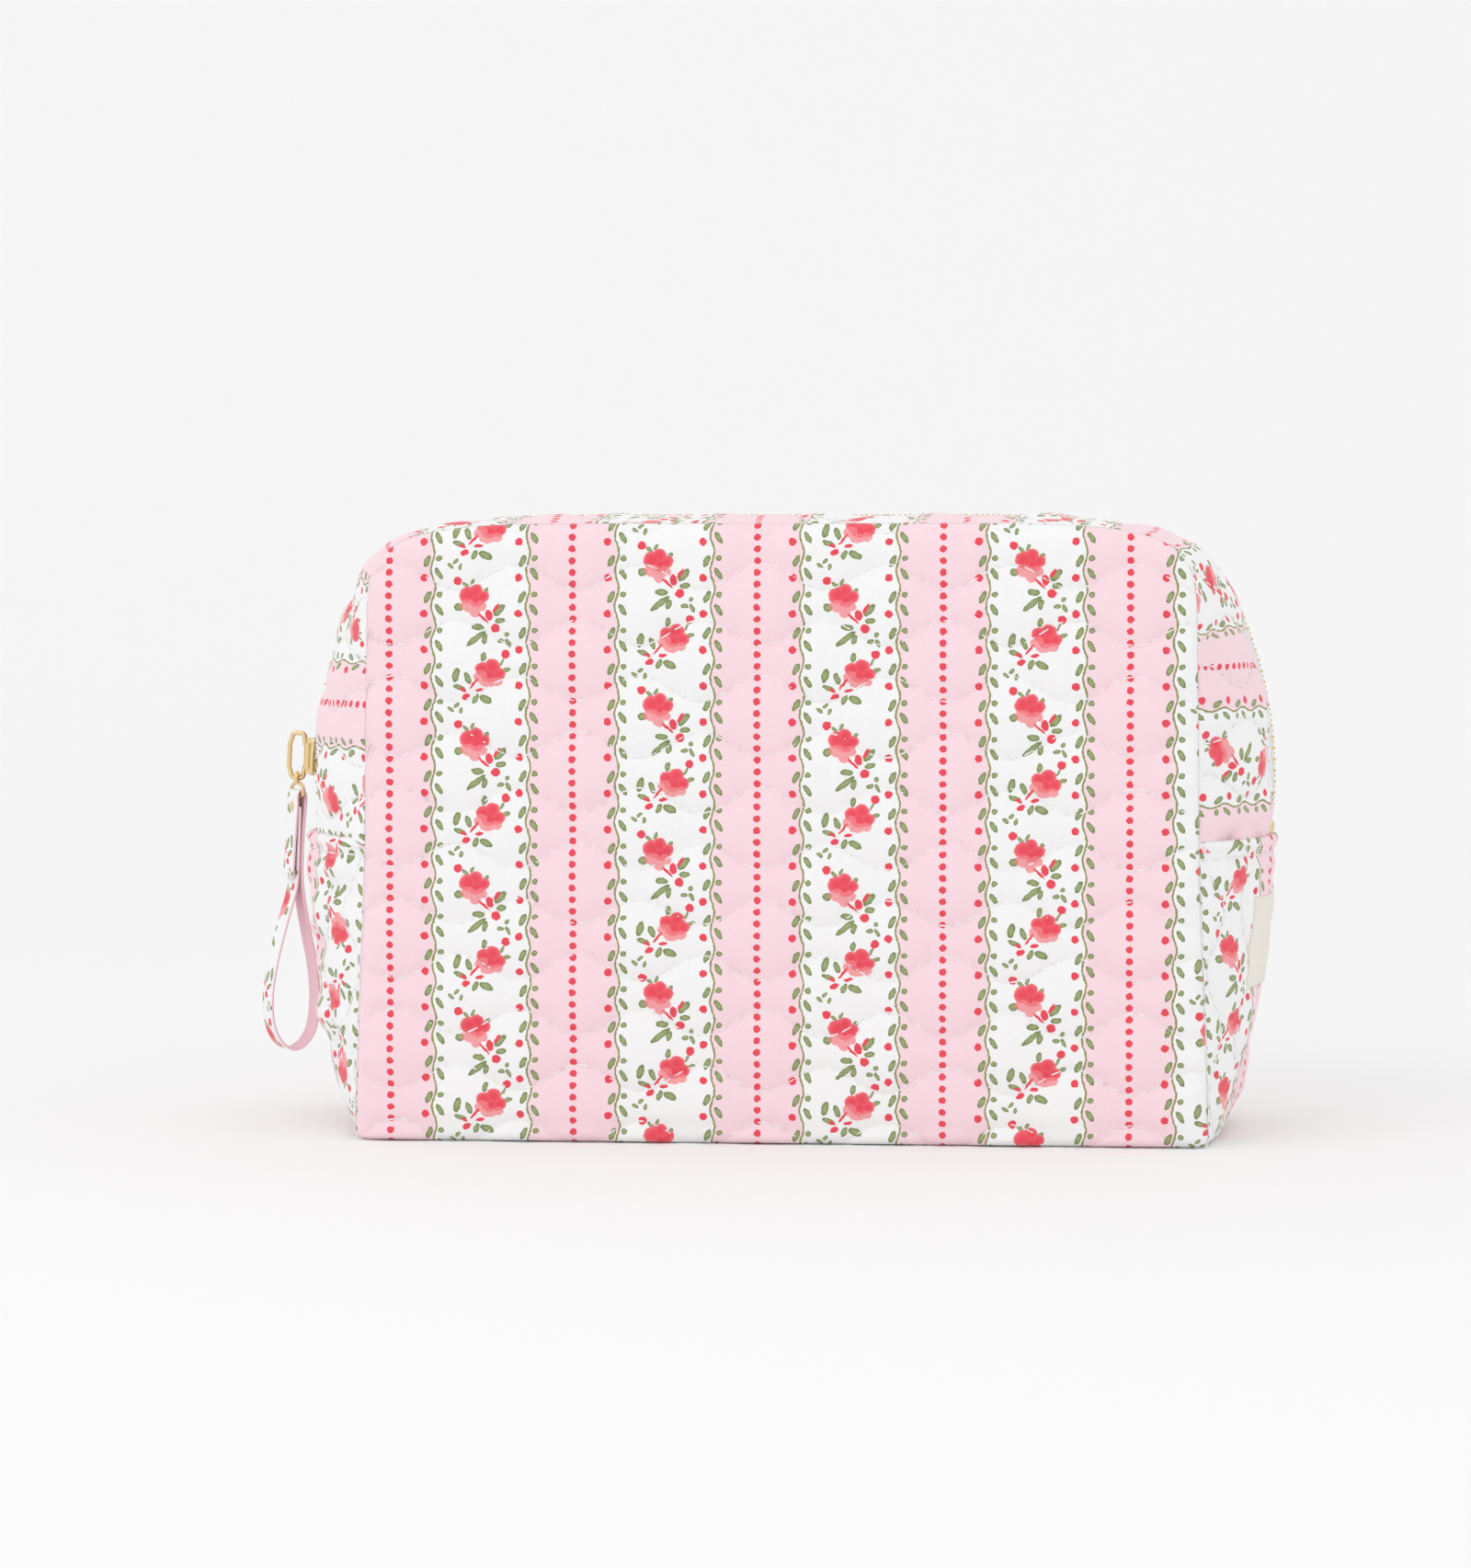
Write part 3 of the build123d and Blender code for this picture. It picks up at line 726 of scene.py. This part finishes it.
STRIP_INSET = 1.3       # the padded strip lies this far inside the zip's own outline
GAPE = (178.0, 24.0, 4.0)               # the cover stands off the zip: place on the right, reach, depth


def zip_edge(run):
    """How far the cover's folded edge lies from the middle plane."""
    place, reach, depth = GAPE
    return ZIP_EDGE_Y + depth * np.exp(-((run - place) / reach) ** 2)


def upper_surface(run, y, sign, seed):
    """Quilted strip over the mouth: run along it in mm from the middle, y off the middle plane."""
    index = np.interp(run, TOP_RUN, np.arange(TOP_STEPS))
    width = y / SEAM_Y
    place = strip_points(SEAM_TOP, MID_TOP, index, width, sign)
    puff, pucker = quilt(y, run, *STRIP_QUILT)
    seam_gap, zip_gap = np.clip(SEAM_Y - y, 0, None), np.clip(y - zip_edge(run), 0, None)
    end_gap = np.clip(TOP_RUN[-1] - np.abs(run), 0, None)

    stitched = 0.45 * np.exp(-((zip_gap - 3.0) / 0.9) ** 2)
    edge = roll(seam_gap, 6.0) * (0.5 + 0.5 * roll(end_gap, 4.0))
    lip = 0.4 * (1 - roll(zip_gap, 2.5))
    tuck = 0.5 * np.exp(-seam_gap / 6.0) * np.sin(run * 2 * math.pi / 8.3 + np.sin(run / 11.0))
    padding = 1.3 * puff - STRIP_INSET + pucker + 0.3 * ripple(run, y, 33, seed) + tuck
    relief = edge * padding - stitched - lip
    crumple = np.exp(-end_gap / 16.0) * 0.5 * ripple(run, y, 13, seed + 5)
    return place, relief + crumple * roll(seam_gap, 6.0)


def upper_strip(side_name, sign, seed):
    """Grid along the strip's outline and across it from the zip's folded edge to the seam."""
    run = np.linspace(TOP_RUN[0], TOP_RUN[-1], 521)[:, None]
    share = np.linspace(0, 1, 47)[None]
    y = zip_edge(run) * (1 - share) + SEAM_Y * share
    run = run + 0 * y
    place, relief = upper_surface(run, y, sign, seed)
    facing = sign
    surface = place + normals(place, facing) * relief[..., None]
    turned = np.clip((run + 90.0) / 180.0, 0, 1)
    print_run = run + TOP_PINK - TOP_EASE * turned**2 * (3 - 2 * turned)
    uv = pair(print_run, y + 200.0 * (sign > 0))
    piece = shell(f"{side_name}_zip_strip", surface, facing, COVER, uv)
    dress(piece, PRINTED)
    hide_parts(f"{side_name}_zip_gusset", f"{side_name}_zip_gusset_ends")
    mouth(piece)

    seam_rows = sew_on_grid(surface, run, y, facing, upper_rows(run, y))
    sew(f"{side_name}_zip_strip_stitches", *seam_rows, lambda p: mouth(p))


TOP_PINK = 13.0         # a pink stripe's middle, left of the strip's own middle
TOP_EASE = 15.0         # the print is cut askew: it runs this much further on at the right


def upper_rows(run, y):
    """Centre lines of the stitching: quilting rows across the strip and a row beside the zip."""
    across = np.arange(ZIP_EDGE_Y + 4.5, SEAM_Y - 1.5, STITCH_PITCH)
    lines = []
    for number in range(-16, 17):
        line = row_line(number, across, *STRIP_QUILT)
        if abs(line).max() < TOP_RUN[-1] - 3:
            lines.append((line, across, row_line(number, across + AHEAD, *STRIP_QUILT), across + AHEAD))
    beside = np.arange(TOP_RUN[0] + 3, TOP_RUN[-1] - 3, STITCH_PITCH)
    lines.append((beside, zip_edge(beside) + 3.0, beside + AHEAD, zip_edge(beside + AHEAD) + 3.0))
    return lines


def sew_on_grid(surface, first, second, facing, lines):
    """Stitch centres, points just ahead and outward directions on a grid surface."""
    first_axis = first[:, 0]
    columns = second.shape[1] - 1
    out_grid = normals(surface, facing)
    centres, ahead, out = [], [], []
    for a, b, a_next, b_next in lines:
        spot = []
        for p, q in ((a, b), (a_next, b_next)):
            near = np.interp(p, first_axis, second[:, 0])
            far = np.interp(p, first_axis, second[:, -1])
            row = np.interp(p, first_axis, np.arange(len(first_axis)))
            spot.append((row, (q - near) / (far - near) * columns))
        facing_here = unit(bilinear(out_grid, *spot[0]))
        centres.append(bilinear(surface, *spot[0]) + 0.1 * facing_here)
        ahead.append(bilinear(surface, *spot[1]) + 0.1 * facing_here)
        out.append(facing_here)
    return np.concatenate(centres), np.concatenate(ahead), np.concatenate(out)


upper_strip("front", -1, 51)
upper_strip("back", 1, 71)


def base_strip():
    """Grid along the outline under the bag and across its whole depth, hand-soft at the sides."""
    run = np.linspace(BASE_RUN[0], BASE_RUN[-1], 441)[:, None]
    t = np.linspace(-1, 1, 97)[None]
    run, t = np.broadcast_arrays(run, t)
    index = np.interp(run, BASE_RUN, np.arange(len(MID_BASE)))
    place = strip_points(SEAM_BASE, MID_BASE, index, t)
    height = place[..., 2]
    y = t * SEAM_Y
    seam_gap = SEAM_Y - np.abs(y)
    end_gap = np.clip(BASE_RUN[-1] - np.abs(run), 0, None)
    side_share = np.clip((height - 2) / 10, 0, 1)

    puff, pucker = quilt(run, y, *BASE_QUILT)
    dents = sum(depth * np.exp(-((end_gap - at) / wide) ** 2 - ((y - y_at) / long) ** 2)
                for at, wide, y_at, long, depth in SIDE_DENTS)
    fold = 0.9 * np.exp(-((end_gap - 1.6) / 1.5) ** 2) - 0.7 * np.exp(-((end_gap - 5.2) / 1.6) ** 2)
    wave = 0.6 * np.exp(-end_gap / 9.0) * np.sin(y * 2 * math.pi / 21 + 1.1)
    pull = 0.45 * np.exp(-end_gap / 12.0) * np.sin(y * 2 * math.pi / 6.5 + 2 * np.sin(y / 8.0))
    dents = dents * np.where(run < 0, 1.0, 0.3)
    flat = (run > 0) * np.exp(-((height - 53.5) / 17.0) ** 6 - (y / 30.0) ** 6)
    puff = puff * (1 - 0.9 * flat) + 0.7 * flat
    dents = dents * (1 - flat)
    swell = np.where(run < 0, LEFT_SWELL, 0.0) * roll(end_gap, 12.0) * np.clip(height / 8, 0, 1) * (1 - t**2)
    relief = roll(seam_gap, 5.0) * (1.3 * puff - 0.9 + pucker + 0.35 * ripple(run, y, 30, 91)
                                    + dents + fold + wave + pull + 0.3 * ripple(run, y, 12, 92)) + swell
    relief = relief * (0.4 + 0.6 * roll(end_gap + 0.6, 2.5)) * side_share
    surface = place + normals(place, BASE_FACING) * relief[..., None]
    surface[..., 2] = np.maximum(surface[..., 2], 0.05)
    uv = pair(y + 10.0, run + 100.0)
    piece = shell("base_strip", surface, BASE_FACING, COVER, uv)
    dress(piece, PRINTED)
    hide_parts("base_gusset")
    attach(piece, "root")

    lines = []
    along = np.arange(BASE_RUN[0] + 7, BASE_RUN[-1] - 7, STITCH_PITCH)
    for number in range(-4, 4):
        line = row_line(number, along, *BASE_QUILT)
        lines.append((along, line, along + AHEAD, row_line(number, along + AHEAD, *BASE_QUILT)))
    across = np.arange(-SEAM_Y + 2, SEAM_Y - 2, STITCH_PITCH)
    for end in (-1, 1):
        edge = 0 * across + end * (BASE_RUN[-1] - 4.8)
        lines.append((edge, across, edge, across + AHEAD))
    sew("base_strip_stitches", *sew_on_grid(surface, run, y, BASE_FACING, lines), with_base)
    return surface, run, y


BASE_FACING = -1
LEFT_SWELL = 2.3        # the left side is pushed out further than the right
# Creases pressed into the sides: mm below the zip's end, their height, place and width in y, depth
SIDE_DENTS = [(22.0, 3.2, 6.0, 16.0, -2.8), (30.0, 4.0, -18.0, 13.0, -2.2), (44.0, 5.0, 12.0, 20.0, -1.6),
              (14.0, 3.0, -30.0, 12.0, -2.0), (58.0, 4.0, -6.0, 24.0, -1.8), (13.0, 4.0, 20.0, 10.0, 1.6),
              (27.0, 3.5, -2.0, 12.0, 1.5), (50.0, 5.0, -22.0, 14.0, 1.4)]
BASE_SURFACE, BASE_GRID_RUN, BASE_GRID_Y = base_strip()


# ---- zip: tapes, teeth, end stops ------------------------------------------------------
def zip_line_points():
    """Middle of the zip as a line in x and z: the outline of the middle, moved inwards."""
    run = unit(np.gradient(MID_TOP, axis=0))
    out = np.stack([-run[:, 1], run[:, 0]], -1)
    return MID_TOP - ZIP_DEPTH * out, out


ZIP_LINE, ZIP_OUT = zip_line_points()
ZIP_RUN = run_length(ZIP_LINE)
CORNER_RUN = 104.0      # the zip sinks a little between the covers at the top corners
CORNER_SINK = 1.9


def zip_sink(run):
    """Depth that the zip sinks at the bag's two top corners."""
    return CORNER_SINK * np.exp(-((np.abs(run) - CORNER_RUN) / 19.0) ** 2)


def zip_place(run, y, height):
    """Points beside the zip: run along it, y across and height out of the bag."""
    x = np.interp(run, ZIP_RUN, ZIP_LINE[:, 0])
    z = np.interp(run, ZIP_RUN, ZIP_LINE[:, 1])
    out_x = np.interp(run, ZIP_RUN, ZIP_OUT[:, 0])
    out_z = np.interp(run, ZIP_RUN, ZIP_OUT[:, 1])
    height = height - zip_sink(run)
    return np.stack(np.broadcast_arrays(x + out_x * height, y, z + out_z * height), -1)


def zip_axes(places):
    """Directions along the zip and out of the bag."""
    level = 0 * places
    along = zip_place(places + 0.5, level, 0.0) - zip_place(places - 0.5, level, 0.0)
    out = zip_place(places, level, 1.0) - zip_place(places, level, 0.0)
    return unit(along), unit(out)


def tape(side_name, sign):
    """Woven tape beside the teeth: thicker bead at its inner edge, then flat under the cover."""
    run = np.linspace(TOP_RUN[0] + 0.5, TOP_RUN[-1] - 0.5, 420)[:, None]
    y = np.array([1.6, 1.9, 2.5, 3.1, 3.5, 4.2, 5.5, 7.0, 8.5, 10.0, 12.0])[None]
    height = np.array([0.4, 0.7, 0.8, 0.7, 0.2, 0.05, -0.2, -0.6, -1.0, -1.3, -1.6])[None]
    run, y, height = np.broadcast_arrays(run, y, height)
    height = height + 0.15 * np.sin(run * 2 * math.pi / 18) * (y > 3) - ZIP_DEPTH - zip_sink(run)
    place = strip_points(SEAM_TOP, MID_TOP, np.interp(run, TOP_RUN, np.arange(TOP_STEPS)), y / SEAM_Y, sign)
    surface = place + normals(place, sign) * height[..., None]
    uv = np.stack([run, y], -1)
    piece = shell(f"{side_name}_tape", surface, sign, 0.8, uv)
    dress(piece, ZIP_CLOTH)
    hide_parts(f"{side_name}_zip_tape", f"{side_name}_zip_tape_ends")
    mouth(piece)


# One tooth along y: a clasp round the tape's bead and a rounded head
TOOTH, TOOTH_FACES = rings([(-0.85, 0.35, 0.5), (-0.6, 0.56, 0.9), (0.4, 0.62, 1.05),
                            (1.5, 0.54, 1.0), (2.9, 0.6, 1.1), (3.2, 0.42, 0.8)], 6)
TOOTH_PITCH = 3.05


def teeth(side_name, sign):
    """One row of teeth, half a pitch away from the other row, from stop to stop."""
    shift = 0.0 if sign < 0 else TOOTH_PITCH / 2
    places = np.arange(ZIP_RUN[0] + LAP + 7.0 + shift, ZIP_RUN[-1] - LAP - 6.0, TOOTH_PITCH)
    origins = zip_place(places, 0 * places, 0.2)
    along, out = zip_axes(places)
    y_run = np.tile([0.0, sign, 0.0], (len(places), 1))
    piece = place_many(f"{side_name}_teeth", TOOTH, TOOTH_FACES, origins, y_run, along * -sign, out)
    dress(piece, TEETH_GOLD)
    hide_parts(f"{side_name}_zip_teeth", f"{side_name}_zip_teeth_ends")
    mouth(piece)


def end_stops():
    """Pressed metal bars that hold both tapes together at the two ends of the zip."""
    half = [(-2.6, 1.6, 0.5), (-2.3, 2.7, 1.1), (-1.2, 2.9, 1.35)]
    profile = half + [(0, 2.7, 1.2)] + [(-x, wide, tall) for x, wide, tall in half[::-1]]
    shape, faces = rings(profile, 12)
    for stop_name, place in (("left", TOP_RUN[0] + LAP + 2.8), ("right", TOP_RUN[-1] - LAP - 2.8)):
        spot = np.array([place])
        along, out = zip_axes(spot)
        origin = zip_place(spot, 0 * spot, 0.55)
        piece = place_many(f"end_stop_{stop_name}", shape, faces, origin, along, np.cross(out, along), out)
        dress(piece, GOLD)
        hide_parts(f"zip_stop_{stop_name}")
        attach(piece, "root")


for side_name, sign in (("front", -1), ("back", 1)):
    tape(side_name, sign)
    teeth(side_name, sign)
end_stops()


# ---- lining and bindings ---------------------------------------------------------------
def lined_panel(side_name, sign, seed):
    """Pink cotton behind a panel, following its soft relief at a distance."""
    u = np.linspace(-1, 1, 61)[:, None]
    v = np.linspace(0, 1, 45)[None]
    x = u * (half_width(v * SIDE_END) - 3.4)
    z = 3.2 + v * (top_height(u * (PANEL_HALF_TOP - 3.4)) - 6.6)
    edge = np.sin(np.clip((1 - np.abs(u)) * 12, 0, math.pi / 2)) * np.sin(np.clip(v * 12, 0, math.pi / 2))
    slack = 0.4 * ripple(x, z, 26, seed) * edge
    surface = np.stack([x, sign * (SEAM_Y - 0.25 + slack - 0.5 * edge), z + 0 * x], -1)
    piece = shell(f"{side_name}_lining", surface, -sign, 0.35, pair(x, z))
    dress(piece, LINING)
    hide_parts(f"{side_name}_lining_lower", f"{side_name}_lining_upper")
    mouth(piece)


def binding(side_name, sign):
    """Bound seam allowance: a padded tape that runs round the inside edge of a panel."""
    outline = np.concatenate([HALF_SIDE[:-1], HALF_SIDE[::-1] * [-1, 1]])[:-1]
    run = unit(np.roll(outline, -1, axis=0) - np.roll(outline, 1, axis=0))
    inward = np.stack([-run[:, 1], run[:, 0]], -1)
    middle = np.array([0, 85.0]) - outline
    inward *= np.sign((inward * middle).sum(1, keepdims=True))
    angle = np.linspace(0, 2 * math.pi, 10, endpoint=False)
    reach = 5.4 + 1.5 * np.cos(angle)
    depth = SEAM_Y - 2.0 - 0.75 * np.sin(angle)
    spot = outline[:, None] + inward[:, None] * reach[None, :, None]
    points = np.stack([spot[..., 0], np.broadcast_to(sign * depth, spot.shape[:2]), spot[..., 1]], -1)
    count = len(outline)
    index = np.arange(count * 10).reshape(count, 10)
    ahead, turned = np.roll(index, -1, 0), np.roll(index, -1, 1)
    quads = np.stack([index, ahead, np.roll(ahead, -1, 1), turned], -1).reshape(-1, 4)
    total = travelled(outline)
    uv = pair(total[:, None], 1.3 * np.arange(10)[None])
    quads = quads if sign < 0 else quads[:, ::-1]
    piece = make_mesh(f"{side_name}_binding", points.reshape(-1, 3), quads, uv.reshape(-1, 2))
    dress(piece, BINDING)
    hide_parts(f"{side_name}_binding_lower", f"{side_name}_binding_upper")
    mouth(piece)


def strip_lining(name, seam, mid, run_ends, widths, sign, facing, nodes, seed, hold):
    """Pink cotton behind a side strip, moved in from the cover's outline."""
    run = np.linspace(*run_ends, 150)[:, None]
    width = np.linspace(*widths, 31)[None]
    run, width = np.broadcast_arrays(run, width)
    length = run_length(mid)
    place = strip_points(seam, mid, np.interp(run, length, np.arange(len(mid))), width, sign)
    out = normals(place, facing)
    surface = place - out * (4.3 + 0.2 * ripple(run, width * SEAM_Y, 24, seed))[..., None]
    surface[..., 1] *= (SEAM_Y - 1.0) / SEAM_Y
    surface[..., 2] = np.maximum(surface[..., 2], 2.6)
    piece = shell(name, surface, facing, 0.3, pair(run, width * SEAM_Y))
    dress(piece, LINING)
    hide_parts(*nodes)
    hold(piece)


for side_name, sign in (("front", -1), ("back", 1)):
    lined_panel(side_name, sign, 101)
    binding(side_name, sign)
    strip_lining(
        f"{side_name}_strip_lining", SEAM_TOP, MID_TOP, (TOP_RUN[0], TOP_RUN[-1]),
        (ZIP_EDGE_Y / SEAM_Y, 1.0), sign, sign, (f"{side_name}_zip_lining", f"{side_name}_zip_lining_ends"),
        111, lambda p, s=side_name: mouth(p),
    )
strip_lining("base_lining", SEAM_BASE, MID_BASE, (BASE_RUN[0], BASE_RUN[-1]), (-1.0, 1.0), 1, BASE_FACING,
             ("base_gusset_lining",), 121, with_base)


# ---- woven label on the right side --------------------------------------------------------
def label():
    """Blank woven label sewn over the base strip's side, edges turned in."""
    heights = BASE_SURFACE[:, BASE_SURFACE.shape[1] // 2, 2]
    right = BASE_SURFACE[:, BASE_SURFACE.shape[1] // 2, 0] > 0
    runs = BASE_GRID_RUN[:, 0]
    order = np.argsort(heights[right])
    low_run, high_run = np.interp([label_low[2], label_high[2]], heights[right][order], runs[right][order])
    run = np.linspace(low_run, high_run, 41)[:, None]
    y = np.linspace(label_low[1], label_high[1], 61)[None]
    run, y = np.broadcast_arrays(run, y)
    row = np.interp(run, runs, np.arange(len(runs)))
    column = np.interp(y, BASE_GRID_Y[0], np.arange(BASE_GRID_Y.shape[1]))
    under = bilinear(BASE_SURFACE, row, column)
    out = normals(under, BASE_FACING)
    edge_gap = np.minimum.reduce([run - low_run, high_run - run, y - label_low[1], label_high[1] - y])
    lift = 0.12 + 0.55 * roll(edge_gap, 0.8)
    surface = under + out * (lift - 0.12 * np.exp(-((edge_gap - 1.6) / 0.4) ** 2))[..., None]
    piece = shell("blank_label", surface, BASE_FACING, 0.5, np.stack([y, run], -1))
    dress(piece, LABEL_CLOTH)
    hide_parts("side_label")
    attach(piece, "root")


label()


# ---- wrist strap --------------------------------------------------------------------------
STRAP_X = (strap_low[0] + strap_high[0]) / 2
STRAP_TURN = math.radians(30.0)
LINK_Z = link_low[2] + 0.55             # middle of the link's lower bar
STRAP_WIDTH = 7.5
STRAP_THICK = 0.85
STRAP_PRINT_X = 20.0                    # place of the ribbon's middle on the print


def ribbon(name, path, width, thickness):
    """Flat ribbon along a path in its own plane, printed outside and plain inside, thickest just inside its
    edges.
    """
    path = curve(path, 12)
    run = unit(np.gradient(path, axis=0))
    out = np.stack([run[:, 1], -run[:, 0]], -1)
    length = travelled(path)
    half = width / 2
    under = [(-half, -0.5), (-half + 0.25, -0.95), (-half * 0.6, -0.8), (0, -0.75), (half * 0.6, -0.8),
             (half - 0.25, -0.95), (half, -0.5)]
    section = np.array(under + [(x, -level) for x, level in under[::-1]]) * [1, thickness / 2]
    across = section[None, :, 0]
    in_plane = path[:, None] + out[:, None] * section[None, :, 1:]
    side_x, side_y = math.cos(STRAP_TURN), math.sin(STRAP_TURN)
    x = STRAP_X + in_plane[..., 0] * side_x - across * side_y
    y = in_plane[..., 0] * side_y + across * side_x
    points = np.stack([x, y, in_plane[..., 1]], -1)
    rows, columns = points.shape[:2]
    index = np.arange(rows * columns).reshape(rows, columns)
    turned = np.roll(index, -1, 1)
    quads = np.stack([index[:-1], index[1:], turned[1:], turned[:-1]], -1).reshape(-1, 4)
    caps = []
    for ring_ids, step in ((index[0], -1), (index[-1], 1)):
        caps += [[ring_ids[k], ring_ids[k + 1], ring_ids[12 - k], ring_ids[13 - k]][::step] for k in range(6)]
    faces = np.concatenate([quads, np.array(caps)])
    uv = pair(section[None, :, 0] + STRAP_PRINT_X, length[:, None]).reshape(-1, 2)
    piece = make_mesh(name, points.reshape(-1, 3), faces, uv)
    material_index = np.zeros(len(faces), np.int32)
    outer = np.arange(14) < 6
    material_index[:len(quads)] = np.tile(np.where(outer, 0, 1), rows - 1)
    piece.data.materials.append(STRAP_PRINT)
    piece.data.materials.append(PLAIN_PINK)
    piece.data.polygons.foreach_set("material_index", material_index)
    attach(piece, "strap")
    return piece


STRAP_PRINT = cloth_material("strap printed cotton", WHITE, printed=True)
STEM_END = LINK_Z - 24.0
LOOP_END = STEM_END - 48.0
STRAP_LEAN = 0.035      # the loop hangs a little away from the bag


def strap():
    """Ribbon folded over the link: a short doubled stem, then a hanging loop."""
    stem = [(-2.7, STEM_END + 1.0), (-2.3, STEM_END + 7), (-1.8, STEM_END + 14), (-1.25, LINK_Z - 3.0),
            (-1.25, LINK_Z - 0.4), (-0.75, LINK_Z + 1.05), (0, LINK_Z + 1.35), (0.75, LINK_Z + 1.05),
            (1.25, LINK_Z - 0.4), (1.15, LINK_Z - 3.0)]
    loop = [(0.9, LINK_Z - 9), (0.75, STEM_END + 6), (0.9, STEM_END + 1), (1.7, STEM_END - 5),
            (3.6, STEM_END - 14), (5.9, STEM_END - 24), (6.9, STEM_END - 33), (6.3, LOOP_END + 7),
            (3.9, LOOP_END + 2.4), (0.2, LOOP_END + 0.6), (-3.6, LOOP_END + 2.8), (-6.2, LOOP_END + 8),
            (-6.9, STEM_END - 32), (-5.6, STEM_END - 22), (-3.0, STEM_END - 11), (-1.1, STEM_END - 4),
            (-0.35, STEM_END + 1), (-0.3, STEM_END + 9), (-0.25, LINK_Z - 6), (-0.25, LINK_Z - 3.2)]
    loop = [(across + STRAP_LEAN * (z - LINK_Z), z) for across, z in loop]
    piece = ribbon("strap_ribbon", stem + loop, STRAP_WIDTH, STRAP_THICK)
    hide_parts("wrist_strap")


strap()

# ---- metal pieces kept as cut ----------------------------------------------------------------
for node_name in ("slider_body", "slider_bridge", "pull_ring", "strap_link", "strap_rivet"):
    metal = bpy.data.objects[node_name]
    metal.data.materials.clear()
    metal.data.materials.append(GOLD)

# ---- floor, light and camera -----------------------------------------------------------
def studio():
    """Pale floor that curves up into a wall, soft light from all round and a large key light."""
    bend = np.linspace(0.1, math.pi / 2, 14)
    y = np.concatenate([np.linspace(-2600, 900, 8), 900 + 900 * np.sin(bend), [1800.0]])
    z = np.concatenate([np.zeros(8), 900 - 900 * np.cos(bend), [3200.0]])
    x = np.linspace(-3000, 3000, 3)
    surface = np.stack(np.broadcast_arrays(x[:, None], y[None], z[None]), -1)
    sheet = make_mesh("studio_floor", surface.reshape(-1, 3), grid_faces(3, len(y)))
    material = bpy.data.materials.new("studio paper")
    material.use_nodes = True
    shader = material.node_tree.nodes["Principled BSDF"]
    set_inputs(shader, {"Base Color": (0.93, 0.93, 0.93, 1), "Roughness": 0.9, "Specular IOR Level": 0.1})
    sheet.data.materials.append(material)
    world = bpy.data.worlds.new("studio")
    world.use_nodes = True
    world.node_tree.nodes["Background"].inputs[0].default_value = (1, 1, 1, 1)
    world.node_tree.nodes["Background"].inputs[1].default_value = WORLD_LIGHT
    bpy.context.scene.world = world
    for name, place, size, power in (
        ("key_light", (-0.9, -1.3, 1.5), 1.2, KEY_POWER), ("fill_light", (1.4, -1.2, 0.8), 1.4, FILL_POWER),
    ):
        data = bpy.data.lights.new(name, "AREA")
        data.size = size
        data.energy = power
        lamp = bpy.data.objects.new(name, data)
        COLLECTION.objects.link(lamp)
        lamp.location = place
        lamp.rotation_euler = aim(np.array(place), np.array([0, 0, 0.08]))


def aim(place, target):
    """Turn that points a camera or light from a place at a target, with its top up."""
    return Vector(tuple(target - place)).to_track_quat("-Z", "Y").to_euler()


WORLD_LIGHT = 0.96
KEY_POWER = 4.8
FILL_POWER = 0.5
CAMERA_FROM_FRONT = 1283.0              # distance to the front panel
CAMERA_TURN = math.radians(4.5)         # the camera stands this far round to the right
CAMERA_YAW = CAMERA_TURN + math.radians(0.51)
CAMERA_HEIGHT = 155.0
CAMERA_PITCH = math.radians(-2.58)


def camera():
    """Long lens at the bag's middle height, a little to the right and looking slightly down."""
    data = bpy.data.cameras.new("camera")
    data.lens = 110.0
    data.sensor_width = 36.0
    data.clip_end = 20.0
    eye = bpy.data.objects.new("camera", data)
    COLLECTION.objects.link(eye)
    eye.location = (
        CAMERA_FROM_FRONT * math.sin(CAMERA_TURN) * MM,
        (-PANEL_Y - CAMERA_FROM_FRONT * math.cos(CAMERA_TURN)) * MM,
        CAMERA_HEIGHT * MM,
    )
    eye.rotation_euler = (math.pi / 2 + CAMERA_PITCH, 0, CAMERA_YAW)
    bpy.context.scene.camera = eye
    bpy.context.scene.view_settings.view_transform = "Standard"


studio()
camera()
bpy.context.view_layer.update()
